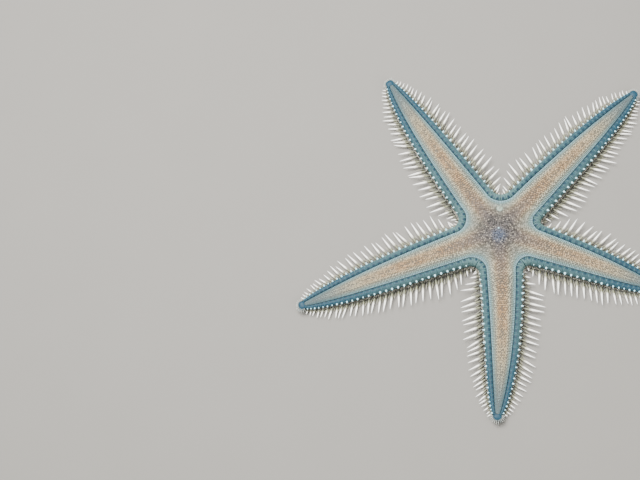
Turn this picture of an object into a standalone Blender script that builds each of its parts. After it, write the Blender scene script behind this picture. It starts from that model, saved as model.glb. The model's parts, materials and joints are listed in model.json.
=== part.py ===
"""A sand sea star at life size, lying on its underside with its five arms spread.

Metres, +Z up. Seen from above, arm_1 is the first arm clockwise from the madreporite and the
others follow clockwise. An arm's left is its left as seen from the disc towards the tip. A share
is a distance from the mouth as a share of the arm's length.
"""

import math
import random

import bmesh
import bpy
from mathutils import Matrix, Vector
from mathutils.geometry import interpolate_bezier, intersect_line_line

MM = 0.001
UP = Vector((0, 0, 1))
SQUARE = ((1, 1), (-1, 1), (-1, -1), (1, -1))

# Compass angle (degrees from +X), length from the mouth to the tip, and sideways bend of each arm
ARMS = (
    {"angle": 47.7, "length": 83.4 * MM, "bend": 0.4 * MM},
    {"angle": -19.4, "length": 68.6 * MM, "bend": 0.7 * MM},
    {"angle": -90.4, "length": 75.5 * MM, "bend": 1.8 * MM},
    {"angle": -159.2, "length": 85.5 * MM, "bend": -0.4 * MM},
    {"angle": 124.2, "length": 82.0 * MM, "bend": 0.7 * MM},
)
GAP = 0.3 * MM                  # between touching nodes

# The body in plan
ARM_HALF_WIDTH = 8.3 * MM       # out to the sides of the edge plates, near the disc
FIELD_HALF_WIDTH = 6.1 * MM     # of the upper field between the edge plates, near the disc
FIELD_END = 0.995               # share where the upper field has narrowed to nothing
MARGIN_END = 0.97               # share where the edge plates end and the terminal plate starts
CORNER_EXTRA = 0.8 * MM         # the edge plates are this much wider in the corners between the arms
CORNER_REACH = 7.0 * MM
CORNER_START = 15.5 * MM        # from the mouth to where the corner between two arms begins
CORNER_ROUNDING = 0.5
ARM_START = 18.0 * MM           # from the mouth to the cut between the disc and an arm
CORE_END = 0.72 * MM            # the field's half width where an arm's core ends

# The body from the side
EDGE_HEIGHT = 6.8 * MM          # of the upper field's edge, near the disc
CROWN = 1.5 * MM                # rise of the field's middle over its edge, near the disc
DISC_RISE = 1.3 * MM            # further rise of the disc's middle
DISC_RISE_RADIUS = 12.0 * MM
TIP_LIFT = 1.5 * MM             # the arms' tips curl up by this much
TIP_LIFT_START = 0.75
FURROW_HALF_SHARE = 0.32        # the furrow under an arm, as shares of the field's half width and height
FURROW_DEPTH_SHARE = 0.42
MOUTH_RADIUS = 4.2 * MM
MOUTH_DEPTH = 2.4 * MM
JAW_RADIUS = 2.1 * MM

# The rows of edge plates, upper and lower
PLATE_PITCH = 2.25 * MM         # mean distance between edge plates
MARGIN_SPLIT = 0.5              # the two rows meet at this share of the edge's height
PLATE_CROWN = 0.45 * MM
GROOVE_DEPTH = 0.35 * MM
TUBERCLE = 0.75 * MM            # each upper plate's pointed knob stands out this far

# The long spines on the lower edge plates
SPINE_LENGTH = 10.0 * MM        # near the disc
SPINE_HALF_WIDTH = 0.52 * MM
SPINE_HALF_THICKNESS = 0.3 * MM
SPINE_ROOT = 0.7 * MM           # sunk into the plate
SPINE_LEAN = 39                 # degrees towards the tip, at the arm's tip
SPINE_RISE = 3                  # degrees upward
SPINE_LEAN_DRAW = 4             # degrees either way
SPINE_RISE_DRAW = 3
CORNER_SPINE_LENGTH = 2.0 * MM  # in the very corner; each next spine is longer by its distance from there
SHORTEST_SPINE = 1.1 * MM       # a spine with less room than this is left out
TIP_SPINE_LENGTH = 2.0 * MM     # of the short spines on the terminal plate
TIP_SPINE_ROOT = 0.35 * MM
TIP_SPINE_ANGLES = (-52, -26, 0, 26, 52)

# What sits on the disc: a low cone near its middle and the madreporite between arm_5 and arm_1
CONE_PLACE = Vector((0.2 * MM, -1.9 * MM, 0))
CONE_RADIUS = 1.6 * MM
CONE_HEIGHT = 0.8 * MM
SIEVE_RADIUS = 1.4 * MM
SIEVE_HEIGHT = 0.5 * MM
SIEVE_PLACE = 9.5 * MM          # from the middle of the disc


def arm_axes(arm):
    """The arm's own direction and its left, in plan."""
    angle = math.radians(arm["angle"])
    return Vector((math.cos(angle), math.sin(angle), 0)), Vector((-math.sin(angle), math.cos(angle), 0))


def midline(arm, share):
    """A point in plan on the arm's middle line."""
    along, left = arm_axes(arm)
    return along * arm["length"] * share + left * arm["bend"] * 4 * share * (1 - share)


def half_width(share):
    return ARM_HALF_WIDTH * (1 - min(share, 1) ** 2.2) ** 0.53


def field_half_width(share):
    return FIELD_HALF_WIDTH * (1 - min(share / FIELD_END, 1) ** 1.6) ** 0.68


def edge_height(share):
    return EDGE_HEIGHT * (1 - 0.68 * share**1.6)


def middle_height(arm, share):
    """Height of the upper field on the arm's middle line."""
    crown = CROWN * (field_half_width(share) / FIELD_HALF_WIDTH) ** 0.8
    rise = DISC_RISE * math.exp(-((arm["length"] * share / DISC_RISE_RADIUS) ** 2))
    return edge_height(share) + crown + rise


def lift(share):
    return TIP_LIFT * max(0, (share - TIP_LIFT_START) / (1 - TIP_LIFT_START)) ** 2


def field_edge(arm, side, share):
    """A point in plan on the edge of the upper field; side is 1 for the left and -1 for the right."""
    return midline(arm, share) + arm_axes(arm)[1] * side * field_half_width(share)


def corner(index, side, count):
    """count points in plan round the corner from an arm to its neighbour on that side."""
    ends, lines = [], []
    for each, its_side in ((ARMS[index], side), (ARMS[(index - side) % len(ARMS)], -side)):
        share = CORNER_START / each["length"]
        ends.append(field_edge(each, its_side, share))
        lines.append((ends[-1], field_edge(each, its_side, share * 1.05)))
    meeting = intersect_line_line(*lines[0], *lines[1])[0]
    handles = [end.lerp(meeting, CORNER_ROUNDING) for end in ends]
    return interpolate_bezier(ends[0], handles[0], handles[1], ends[1], count)


def spread(first, last, count):
    """count numbers evenly from first to last."""
    return [first + (last - first) * i / (count - 1) for i in range(count)]


class MarginPath:
    """The edge of the upper field on one side of an arm, from the corner's middle to the arm's tip."""

    def __init__(self, index, side):
        self.arm = ARMS[index]
        self.side = side
        self.along, left = arm_axes(self.arm)
        self.square = left * side
        bend = corner(index, side, 41)
        shares = spread(CORNER_START / self.arm["length"], MARGIN_END, 60)
        half_bend = bend[len(bend) // 2 :: -1]
        self.points = half_bend[:-1] + [field_edge(self.arm, side, share) for share in shares]
        self.middle = self.points[0]
        self.bend_length = sum((b - a).length for a, b in zip(half_bend, half_bend[1:]))
        between = self.along + arm_axes(ARMS[(index - side) % len(ARMS)])[0]
        self.own_side = between.cross(UP).normalized() * side
        self.lengths = [0.0]
        for a, b in zip(self.points, self.points[1:]):
            self.lengths.append(self.lengths[-1] + (b - a).length)
        self.length = self.lengths[-1]

    def plan(self, distance):
        """The point in plan at a distance along the path."""
        last = len(self.points) - 2
        i = next((i for i in range(last + 1) if self.lengths[i + 1] >= distance), last)
        share = (distance - self.lengths[i]) / (self.lengths[i + 1] - self.lengths[i])
        return self.points[i].lerp(self.points[i + 1], share)

    def at(self, distance):
        """Point, outward direction, share and plate width at a distance along the path."""
        reach = 0.4 * MM
        point = self.plan(distance)
        outward = (self.plan(distance + reach) - self.plan(distance - reach)).cross(UP) * -self.side
        straight = min(1, max(0, distance / self.bend_length - 1))
        outward = outward.normalized().lerp(self.square, straight).normalized()
        share = point.dot(self.along) / self.arm["length"]
        extra = CORNER_EXTRA * math.exp(-((distance / CORNER_REACH) ** 2))
        return point, outward, share, half_width(share) - field_half_width(share) + extra

    def clearance(self, point):
        """How far a point is from the corner's middle plane, on this arm's side."""
        return (point - self.middle).dot(self.own_side)

    def kept_clear(self, point):
        """The point, moved if need be so that it stays on this arm's side of the corner."""
        return point + self.own_side * max(0, GAP / 2 - self.clearance(point))

    def plate_ends(self):
        """Distances of the plates' ends along the path; the plates are shorter towards the tip."""
        count = round(self.length / PLATE_PITCH)
        return [self.length * (1.15 * x - 0.15 * x**4) for x in spread(0, 1, count + 1)]


def add_rings(bm, rings):
    """A closed skin through rings of points alike in number, with a flat cap at each end."""
    loops = [[bm.verts.new(p) for p in ring] for ring in rings]
    for a, b in zip(loops, loops[1:]):
        for i in range(len(a)):
            j = (i + 1) % len(a)
            bm.faces.new((a[i], a[j], b[j], b[i]))
    bm.faces.new(loops[0][::-1])
    bm.faces.new(loops[-1])


def mesh_object(name, bm, material, collection):
    """Closes off bm as an object, faces outward and all triangles."""
    bmesh.ops.recalc_face_normals(bm, faces=bm.faces)
    bmesh.ops.triangulate(bm, faces=bm.faces)
    mesh = bpy.data.meshes.new(name)
    bm.to_mesh(mesh)
    bm.free()
    if material:
        mesh.materials.append(material)
    obj = bpy.data.objects.new(name, mesh)
    collection.objects.link(obj)
    return obj


def make_material(name, colour, roughness):
    material = bpy.data.materials.new(name)
    material.use_nodes = True
    shader = material.node_tree.nodes["Principled BSDF"]
    shader.inputs["Base Color"].default_value = (*colour, 1)
    shader.inputs["Roughness"].default_value = roughness
    shader.inputs["Metallic"].default_value = 0
    return material


def largest_surface(mesh):
    """Keeps only the mesh's closed surface that has the most faces."""
    bm = bmesh.new()
    bm.from_mesh(mesh)
    left, surfaces = set(bm.faces), []
    while left:
        surface, front = set(), [left.pop()]
        while front:
            face = front.pop()
            surface.add(face)
            for neighbour in {f for edge in face.edges for f in edge.link_faces} & left:
                left.discard(neighbour)
                front.append(neighbour)
        surfaces.append(surface)
    surfaces.sort(key=len)
    loose = [face for surface in surfaces[:-1] for face in surface]
    bmesh.ops.delete(bm, geom=loose, context="FACES")
    bmesh.ops.triangulate(bm, faces=bm.faces)
    bm.to_mesh(mesh)
    bm.free()


def fuse(obj, pieces):
    """Joins the closed pieces in a collection to obj by one union, and removes them."""
    union = obj.modifiers.new("union", "BOOLEAN")
    union.operation = "UNION"
    union.operand_type = "COLLECTION"
    union.collection = pieces
    union.solver = "EXACT"
    bpy.context.view_layer.update()
    joined = bpy.data.meshes.new_from_object(obj.evaluated_get(bpy.context.evaluated_depsgraph_get()))
    obj.modifiers.remove(union)
    obj.data = joined
    largest_surface(joined)
    for piece in list(pieces.objects):
        bpy.data.objects.remove(piece)
    bpy.data.collections.remove(pieces)


def add_spine(pieces, root, direction, length, sunk):
    """A flat, pointed spine from its root on a plate's surface, with its foot sunk into the plate."""
    size = 0.5 + 0.5 * length / SPINE_LENGTH
    across = direction.cross(UP).normalized()
    above = across.cross(direction)
    bm = bmesh.new()
    rings = []
    for place, width, thickness in ((-sunk, 0.7, 0.9), (length * 0.42, 1, 1)):
        side = across * SPINE_HALF_WIDTH * size * width
        face = above * SPINE_HALF_THICKNESS * thickness * (0.5 + 0.5 * size)
        middle = root + direction * place
        rings.append([middle + side * x + face * z for x, z in SQUARE])
    add_rings(bm, rings)
    bm.faces.ensure_lookup_table()
    top = bmesh.ops.poke(bm, faces=[bm.faces[-1]])["verts"][0]
    top.co = root + direction * length
    mesh_object("spine", bm, None, pieces)


def new_pieces():
    pieces = bpy.data.collections.new("pieces")
    bpy.context.scene.collection.children.link(pieces)
    return pieces


def arm_core(name, arm, material, collection):
    """The arm between its edge plates: the domed upper field, and the furrow underneath."""
    bm = bmesh.new()
    rings = []
    end = next(s / 1000 for s in range(1000) if field_half_width(s / 1000) < CORE_END)
    for share in spread((ARM_START + GAP / 2) / arm["length"], end, 14):
        half = field_half_width(share) - GAP / 2
        edge, middle = edge_height(share), middle_height(arm, share)
        furrow = half * FURROW_HALF_SHARE
        outline = [(half, 0), (half, edge), (half * 0.6, edge + (middle - edge) * 0.75), (0, middle)]
        outline += [(-x, z) for x, z in outline[-2::-1]]
        outline += [(-furrow, 0), (0, edge * FURROW_DEPTH_SHARE), (furrow, 0)]
        left = arm_axes(arm)[1]
        base = midline(arm, share) + UP * lift(share)
        rings.append([base + left * x + UP * z for x, z in outline])
    add_rings(bm, rings)
    return mesh_object(name, bm, material, collection)


def disc_outline():
    """(point, upper height, underside height) right round the disc, on its cuts and its corners."""
    around = []
    for index, arm in enumerate(ARMS):
        share = ARM_START / arm["length"]
        along, left = arm_axes(arm)
        half = field_half_width(share) - GAP / 2
        edge, middle = edge_height(share), middle_height(arm, share)
        furrow = half * FURROW_HALF_SHARE
        base = midline(arm, share) - along * GAP / 2
        shoulder = edge + (middle - edge) * 0.93
        across = ((half, edge, 0), (furrow, shoulder, 0), (0, middle, edge * FURROW_DEPTH_SHARE))
        across += ((-furrow, shoulder, 0), (-half, edge, 0))
        around += [(base + left * x, top, under) for x, top, under in across]
        for point in corner(index, -1, 9):
            inward = (point.length - GAP) / point.length
            around.append((point * inward, edge_height(CORNER_START / arm["length"]), 0))
    return around


def disc(material, collection):
    """The body's middle, domed above, with the five furrows running in to the mouth below."""
    bm = bmesh.new()
    around = disc_outline()
    centre = middle_height(ARMS[0], 0)
    mouth = MOUTH_RADIUS
    rings = [[p * (0.6 * mouth / p.length) + UP * MOUTH_DEPTH for p, _, _ in around]]
    rings.append([p * (mouth / p.length) + UP * under * 0.8 for p, _, under in around])
    rings.append([p + UP * under for p, _, under in around])
    for inward in (1, 0.72, 0.45, 0.2):
        dome = 1 - inward**2
        rings.append([p * inward + UP * (top + (centre - top) * dome) for p, top, _ in around])
    add_rings(bm, rings)
    return mesh_object("disc", bm, material, collection)


def upper_margin(name, path, material, collection):
    """One row of upper edge plates, parted by grooves, each with a pointed knob on its outer edge."""
    ends = path.plate_ends()
    stations = [(GAP / 2, 0)]
    for start, end in zip(ends, ends[1:]):
        stations += [((start + end) / 2, 1), (end, 0)]
    bm = bmesh.new()
    rings = []
    for distance, plate in stations:
        point, outward, share, width = path.at(distance)
        edge = edge_height(share)
        size = 0.4 + 0.6 * edge / EDGE_HEIGHT
        sunk = GROOVE_DEPTH * size * (1 - plate)
        knob = TUBERCLE * size * plate
        low = edge * MARGIN_SPLIT + GAP / 2
        outline = (
            (GAP / 2, low),
            (GAP / 2, edge - sunk),
            (width * 0.5, edge + PLATE_CROWN * size - sunk),
            (width - sunk + knob * 0.6, edge * 0.8 - sunk + knob),
            (width - sunk, low),
        )
        ring = [point + outward * x + UP * (z + lift(share)) for x, z in outline]
        rings.append([path.kept_clear(p) for p in ring])
    add_rings(bm, rings)
    return mesh_object(name, bm, material, collection)


def lower_spines(path, draw):
    """(root, direction, length) of the long spine on each of a row's lower plates."""
    spines = []
    ends = path.plate_ends()
    for start, end in zip(ends, ends[1:]):
        point, outward, share, width = path.at((start + end) / 2)
        lean = math.radians(SPINE_LEAN * share**0.85 + draw.uniform(-SPINE_LEAN_DRAW, SPINE_LEAN_DRAW))
        rise = math.radians(SPINE_RISE + draw.uniform(-SPINE_RISE_DRAW, SPINE_RISE_DRAW))
        flat = outward * math.cos(lean) + path.along * math.sin(lean)
        direction = (flat * math.cos(rise) + UP * math.sin(rise)).normalized()
        root = point + outward * width + UP * (lift(share) + edge_height(share) * (0.38 - 0.1 * share))
        length = SPINE_LENGTH * (1 - share**4) ** 0.75 * draw.uniform(0.9, 1.05)
        length = min(length, CORNER_SPINE_LENGTH + start)
        approach = -direction.dot(path.own_side)
        if approach > 0:
            room = path.clearance(root) - GAP / 2 - SPINE_HALF_WIDTH / 2
            length = min(length, room / approach)
        if length > SHORTEST_SPINE:
            spines.append((root, direction, length))
    return spines


def lower_margin(name, path, draw, material, collection):
    """One row of lower edge plates with its fringe of long spines."""
    bm = bmesh.new()
    rings = []
    stations = spread(GAP / 2, path.bend_length, 5) + spread(path.bend_length, path.length, 13)[1:]
    for distance in stations:
        point, outward, share, width = path.at(distance)
        high = edge_height(share) * MARGIN_SPLIT - GAP / 2
        outline = ((GAP / 2, 0), (GAP / 2, high), (width, high), (width, high * 0.4), (width * 0.7, 0))
        ring = [point + outward * x + UP * (z + lift(share)) for x, z in outline]
        rings.append([path.kept_clear(p) for p in ring])
    add_rings(bm, rings)
    row = mesh_object(name, bm, material, collection)
    pieces = new_pieces()
    for root, direction, length in lower_spines(path, draw):
        add_spine(pieces, root, direction, length, SPINE_ROOT)
    fuse(row, pieces)
    return row


def terminal_plate(name, arm, material, collection):
    """The small rounded plate at the arm's very tip, with short spines round it."""
    bm = bmesh.new()
    start = MARGIN_END + GAP / arm["length"]
    reach = arm["length"] * (1 - start)
    along, left = arm_axes(arm)
    base = midline(arm, start) + UP * lift(start)
    rings = []
    for angle in spread(0, math.radians(72), 4):
        half = half_width(start) * math.cos(angle)
        high = edge_height(start) * (0.6 + 0.4 * math.cos(angle))
        low = 0.4 * MM * math.sin(angle)
        outline = [(half, low + 0.5 * MM), (half, high * 0.65), (half * 0.5, high)]
        outline += [(-x, z) for x, z in outline[::-1]] + [(-half * 0.5, low), (half * 0.5, low)]
        rings.append([base + along * reach * math.sin(angle) + left * x + UP * z for x, z in outline])
    add_rings(bm, rings)
    plate = mesh_object(name, bm, material, collection)
    pieces = new_pieces()
    for degrees in TIP_SPINE_ANGLES:
        turn = math.radians(degrees)
        direction = (along * math.cos(turn) + left * math.sin(turn) + UP * 0.1).normalized()
        root = base + along * reach * 0.85 * math.cos(turn) + UP * edge_height(start) * 0.5
        root += left * half_width(start) * 0.8 * math.sin(turn)
        add_spine(pieces, root, direction, TIP_SPINE_LENGTH, TIP_SPINE_ROOT)
    fuse(plate, pieces)
    return plate


def button(name, on, point, radius, height, material, collection):
    """A low dome that sits on another object's upper surface."""
    _, place, normal, _ = on.ray_cast(point + UP, -UP)
    bm = bmesh.new()
    rings = []
    for share, rise in ((1, 0), (0.9, 0.5), (0.45, 1)):
        turn = spread(0, 2 * math.pi, 17)[:-1]
        flat = [Vector((math.cos(a), math.sin(a), 0)) * radius * share for a in turn]
        rings.append([p + UP * height * rise for p in flat])
    add_rings(bm, rings)
    tilt = normal.to_track_quat("Z", "Y").to_matrix().to_4x4()
    bmesh.ops.transform(bm, matrix=Matrix.Translation(place + normal * GAP) @ tilt, verts=bm.verts)
    return mesh_object(name, bm, material, collection)


def mouth_plates(material, collection):
    """The five jaws that close the mouth, as one star-shaped plug in the recess under the disc."""
    bm = bmesh.new()
    rings = []
    for share, z in ((1, MOUTH_DEPTH - GAP), (1, 1.2 * MM), (0.5, 0.7 * MM)):
        ring = []
        for arm in ARMS:
            for turn, reach in ((0, 0.62), (24, 0.8), (36, 1), (48, 0.8)):
                angle = math.radians(arm["angle"] - turn)
                away = Vector((math.cos(angle), math.sin(angle), 0))
                ring.append(away * JAW_RADIUS * reach * share + UP * z)
        rings.append(ring)
    add_rings(bm, rings)
    return mesh_object("mouth_plates", bm, material, collection)


def main():
    for obj in list(bpy.data.objects):
        bpy.data.objects.remove(obj)
    collection = bpy.data.collections.new("sand_sea_star")
    bpy.context.scene.collection.children.link(collection)

    sand = make_material("sand_field", (0.47, 0.36, 0.26), 0.75)
    blue = make_material("blue_plates", (0.07, 0.19, 0.28), 0.6)
    ivory = make_material("ivory_spines", (0.80, 0.78, 0.68), 0.5)
    pale = make_material("pale_madreporite", (0.58, 0.60, 0.50), 0.7)
    slate = make_material("slate_cone", (0.20, 0.20, 0.25), 0.75)

    body = disc(sand, collection)
    mouth_plates(ivory, collection)
    button("apical_cone", body, CONE_PLACE, CONE_RADIUS, CONE_HEIGHT, slate, collection)
    between = math.radians((ARMS[0]["angle"] + ARMS[4]["angle"]) / 2)
    sieve = Vector((math.cos(between), math.sin(between), 0)) * SIEVE_PLACE
    button("madreporite", body, sieve, SIEVE_RADIUS, SIEVE_HEIGHT, pale, collection)
    draw = random.Random(7)
    for index, arm in enumerate(ARMS):
        name = f"arm_{index + 1}"
        arm_core(name, arm, sand, collection)
        terminal_plate(f"{name}_terminal_plate", arm, blue, collection)
        for side, word in ((1, "left"), (-1, "right")):
            path = MarginPath(index, side)
            upper_margin(f"{name}_{word}_upper_margin", path, blue, collection)
            lower_margin(f"{name}_{word}_lower_margin", path, draw, ivory, collection)

    # The middle of the whole outline goes to the origin
    corners = [obj.matrix_world @ Vector(c) for obj in collection.objects for c in obj.bound_box]
    middle = [(min(c[i] for c in corners) + max(c[i] for c in corners)) / 2 for i in range(2)]
    star = bpy.data.objects.new("sea_star", None)
    collection.objects.link(star)
    star.location = (-middle[0], -middle[1], 0)
    for obj in collection.objects:
        if obj is not star:
            obj.parent = star


main()
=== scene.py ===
import json
import math
import random

import bmesh
import bpy
import numpy as np
from mathutils import Matrix, Vector
from mathutils.geometry import interpolate_bezier, intersect_line_line


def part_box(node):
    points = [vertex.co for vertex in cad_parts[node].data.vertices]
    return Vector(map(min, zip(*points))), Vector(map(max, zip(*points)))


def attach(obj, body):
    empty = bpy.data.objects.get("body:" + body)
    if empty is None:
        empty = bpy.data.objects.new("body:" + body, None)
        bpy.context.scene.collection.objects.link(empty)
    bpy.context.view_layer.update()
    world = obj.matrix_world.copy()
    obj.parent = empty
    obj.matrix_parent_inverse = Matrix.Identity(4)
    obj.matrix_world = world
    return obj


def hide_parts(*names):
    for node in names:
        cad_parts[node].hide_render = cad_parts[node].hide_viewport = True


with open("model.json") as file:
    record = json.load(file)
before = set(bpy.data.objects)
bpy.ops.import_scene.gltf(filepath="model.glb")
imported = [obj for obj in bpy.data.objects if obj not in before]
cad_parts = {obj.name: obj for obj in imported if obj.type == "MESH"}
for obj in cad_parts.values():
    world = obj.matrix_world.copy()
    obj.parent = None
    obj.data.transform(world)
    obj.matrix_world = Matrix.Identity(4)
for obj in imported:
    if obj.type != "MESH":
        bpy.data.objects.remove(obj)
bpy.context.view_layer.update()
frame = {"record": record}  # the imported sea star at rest

# A sand sea star at life size on a plain floor. Everything is worked out round the mouth, in
# metres, and moved to the mouth's place in the frame when its mesh is made.

mm = 0.001
up = np.array((0.0, 0.0, 1.0))
mountFromMouth = np.array((8.7 * mm, 2.2 * mm, 0))
mouthPlace = np.array(frame["record"]["mounts"][0]["pos_m"]) - mountFromMouth

armTable = (
    {"angle": 47.7, "length": 83.4 * mm, "bend": 0.4 * mm},
    {"angle": -19.4, "length": 68.6 * mm, "bend": 0.7 * mm},
    {"angle": -90.4, "length": 75.5 * mm, "bend": 1.8 * mm},
    {"angle": -159.2, "length": 85.5 * mm, "bend": -0.4 * mm},
    {"angle": 124.2, "length": 82.0 * mm, "bend": 0.7 * mm},
)
armNumbers = range(1, 6)

bodyPlan = {
    "armHalfWidth": 8.3 * mm,  # out to the sides of the edge plates, near the disc
    "armPowers": (2.2, 0.53),  # how the arm narrows to its tip
    "fieldHalfWidth": 6.1 * mm,  # of the upper field between the edge plates
    "fieldPowers": (1.6, 0.68),
    "fieldEnd": 0.995,
    "marginEnd": 0.97,
    "cornerExtra": 0.8 * mm,
    "cornerReach": 7.0 * mm,
    "cornerStart": 15.5 * mm,
    "cornerRounding": 0.5,
    "edgeHeight": 6.8 * mm,
    "edgeFall": (0.68, 1.6),  # how much of that height is gone at the tip, and how late it goes
    "crown": 1.5 * mm,
    "crownPower": 0.8,
    "discRise": 1.3 * mm,
    "discRiseRadius": 12.0 * mm,
    "tipLift": 1.5 * mm,
    "tipLiftStart": 0.75,
    "furrowShare": 0.32,  # the furrow's half width as a share of the field's
    "furrowDepth": 0.42,  # its depth as a share of the edge's height
    "mouthRadius": 4.2 * mm,
    "mouthDepth": 2.4 * mm,
    "platePitch": 2.25 * mm,
    "marginSplit": 0.5,  # where the two rows of edge plates meet
    "fan": 22.0 * mm,  # the skin's rows fan out from the mouth over this stretch
    "floorClear": 0.08 * mm,  # small hanging pieces end this far over the floor
    "coneHeight": 0.75 * mm,
    "coneRadius": 1.35 * mm,
}


def armAxes(arm):
    turn = math.radians(arm["angle"])
    return np.array((math.cos(turn), math.sin(turn), 0)), np.array((-math.sin(turn), math.cos(turn), 0))


def midline(arm, share):
    forward, left = armAxes(arm)
    share = np.asarray(share, float)[..., None]
    return forward * arm["length"] * share + left * arm["bend"] * 4 * share * (1 - share)


def halfWidth(share):
    inner, outer = bodyPlan["armPowers"]
    return bodyPlan["armHalfWidth"] * (1 - np.minimum(share, 1) ** inner) ** outer


def fieldHalf(share):
    inner, outer = bodyPlan["fieldPowers"]
    return bodyPlan["fieldHalfWidth"] * (1 - np.minimum(share / bodyPlan["fieldEnd"], 1) ** inner) ** outer


def edgeHeight(share):
    fall, power = bodyPlan["edgeFall"]
    return bodyPlan["edgeHeight"] * (1 - fall * np.maximum(share, 0) ** power)


def sized(least, share, measure):
    # A size that falls along the arm as its height or width does, from 1 down to least
    return least + (1 - least) * measure(share) / measure(0)


def middleHeight(arm, share):
    wide = fieldHalf(share) / bodyPlan["fieldHalfWidth"]
    crown = bodyPlan["crown"] * wide ** bodyPlan["crownPower"]
    rise = bodyPlan["discRise"] * np.exp(-((arm["length"] * share / bodyPlan["discRiseRadius"]) ** 2))
    return edgeHeight(share) + crown + rise


def tipLift(share):
    start = bodyPlan["tipLiftStart"]
    return bodyPlan["tipLift"] * np.maximum(0, (share - start) / (1 - start)) ** 2


def fieldEdge(arm, side, share):
    return midline(arm, share) + armAxes(arm)[1] * side * fieldHalf(np.asarray(share, float))[..., None]


def cornerLine(index, side, count):
    # Points round the corner from an arm to its neighbour on that side
    ends, lines = [], []
    for each, itsSide in ((armTable[index], side), (armTable[(index - side) % 5], -side)):
        share = bodyPlan["cornerStart"] / each["length"]
        ends.append(Vector(fieldEdge(each, itsSide, share)))
        lines.append((ends[-1], Vector(fieldEdge(each, itsSide, share * 1.05))))
    meeting = intersect_line_line(*lines[0], *lines[1])[0]
    handles = [end.lerp(meeting, bodyPlan["cornerRounding"]) for end in ends]
    return np.array(interpolate_bezier(ends[0], *handles, ends[1], count))


def edgePath(index, side):
    # The edge of the upper field on one side of an arm, from the corner's middle to the tip
    arm = armTable[index]
    forward, left = armAxes(arm)
    bend = cornerLine(index, side, 41)
    halfBend = bend[len(bend) // 2::-1]
    shares = np.linspace(bodyPlan["cornerStart"] / arm["length"], bodyPlan["marginEnd"], 60)
    points = np.vstack([halfBend[:-1], fieldEdge(arm, side, shares)])
    steps = np.linalg.norm(np.diff(points, axis=0), axis=1)
    ownSide = np.cross(forward + armAxes(armTable[(index - side) % 5])[0], up) * side
    return {
        "index": index, "arm": arm, "side": side, "forward": forward, "square": left * side,
        "points": points, "lengths": np.concatenate([[0], np.cumsum(steps)]), "length": steps.sum(),
        "bendLength": np.linalg.norm(np.diff(halfBend, axis=0), axis=1).sum(),
        "middle": points[0], "ownSide": ownSide / np.linalg.norm(ownSide),
    }


def planPoint(path, distance):
    return np.stack([np.interp(distance, path["lengths"], path["points"][:, i]) for i in range(3)], -1)


def shareOf(path, place):
    return place @ path["forward"] / path["arm"]["length"]


def offMidline(path, place, share):
    return (place - midline(path["arm"], share)) @ path["square"]


def unit(vectors):
    return vectors / np.maximum(np.linalg.norm(vectors, axis=-1, keepdims=True), 1e-12)


def onEdge(path, distance):
    # Point, outward direction, share and edge plate's width at distances along the path
    distance = np.asarray(distance, float)
    reach = 0.4 * mm
    point = planPoint(path, distance)
    ahead = planPoint(path, distance + reach) - planPoint(path, distance - reach)
    outward = unit(np.cross(ahead, up) * -path["side"])
    straight = np.clip(distance / path["bendLength"] - 1, 0, 1)[..., None]
    outward = unit(outward * (1 - straight) + path["square"] * straight)
    share = shareOf(path, point)
    extra = bodyPlan["cornerExtra"] * np.exp(-((distance / bodyPlan["cornerReach"]) ** 2))
    return point, outward, share, halfWidth(share) - fieldHalf(share) + extra


def plateEnds(path):
    # The edge plates get shorter towards the tip
    x = np.linspace(0, 1, round(path["length"] / bodyPlan["platePitch"]) + 1)
    return path["length"] * (1.15 * x - 0.15 * x**4)


def eachPlate(path):
    # Where each edge plate starts, its length, and what onEdge gives at its middle
    ends = plateEnds(path)
    for start, end in zip(ends, ends[1:]):
        yield start, end - start, *onEdge(path, (start + end) / 2)


def clearance(path, points):
    # How far points are from the corner's middle plane, on the path's own side
    return (points - path["middle"]) @ path["ownSide"]


def boxMiddle(node):
    low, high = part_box(node)
    return np.array((low + high) / 2) - mouthPlace


paths = [edgePath(index, side) for index in range(5) for side in (1, -1)]
coneMiddle = boxMiddle("apical_cone")
sieveMiddle = boxMiddle("madreporite")


# Colours, nodes and materials


def linear(hexCode):
    # An sRGB hex value as Blender's linear colour
    parts = [int(hexCode[i:i + 2], 16) / 255 for i in (1, 3, 5)]
    return tuple(c / 12.92 if c <= 0.04045 else ((c + 0.055) / 1.055) ** 2.4 for c in parts) + (1.0,)


def add(tree, kind, inputs=None, out=0, stops=None, **settings):
    # Adds a node with its settings, links or sets its inputs, and gives back one of its outputs
    made = tree.nodes.new(kind)
    for key, value in settings.items():
        setattr(made, key, value)
    for key, value in (inputs or {}).items():
        if isinstance(value, bpy.types.NodeSocket):
            tree.links.new(value, made.inputs[key])
        else:
            isColour = isinstance(value, str) and value.startswith("#")
            made.inputs[key].default_value = linear(value) if isColour else value
    for i, (place, hexCode) in enumerate(stops or ()):
        elements = made.color_ramp.elements
        element = elements[i] if i < len(elements) else elements.new(1)
        element.position, element.color = place, linear(hexCode)
    return made.outputs[out] if made.outputs else None


def reading(tree, source, detail=3.0):
    # A socket as it is, an attribute by its name, or noise by the size of its lumps in metres
    if isinstance(source, str):
        return add(tree, "ShaderNodeAttribute", out="Fac", attribute_name=source)
    if isinstance(source, float):
        place = add(tree, "ShaderNodeTexCoord", out="Object")
        inputs = {"Vector": place, "Scale": 1 / source, "Detail": detail, "Roughness": 0.55}
        return add(tree, "ShaderNodeTexNoise", inputs)
    return source


def masked(tree, share, *ramps):
    # The share times a smooth ramp for each source: from its least at one value to 1 at the other
    for source, low, high, *least in ramps:
        inputs = {"Value": reading(tree, source), "From Min": low, "From Max": high}
        inputs["To Min"] = least[0] if least else 0.0
        ramp = add(tree, "ShaderNodeMapRange", inputs, interpolation_type="SMOOTHSTEP")
        share = add(tree, "ShaderNodeMath", {0: ramp, 1: share}, operation="MULTIPLY")
    return share


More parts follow.
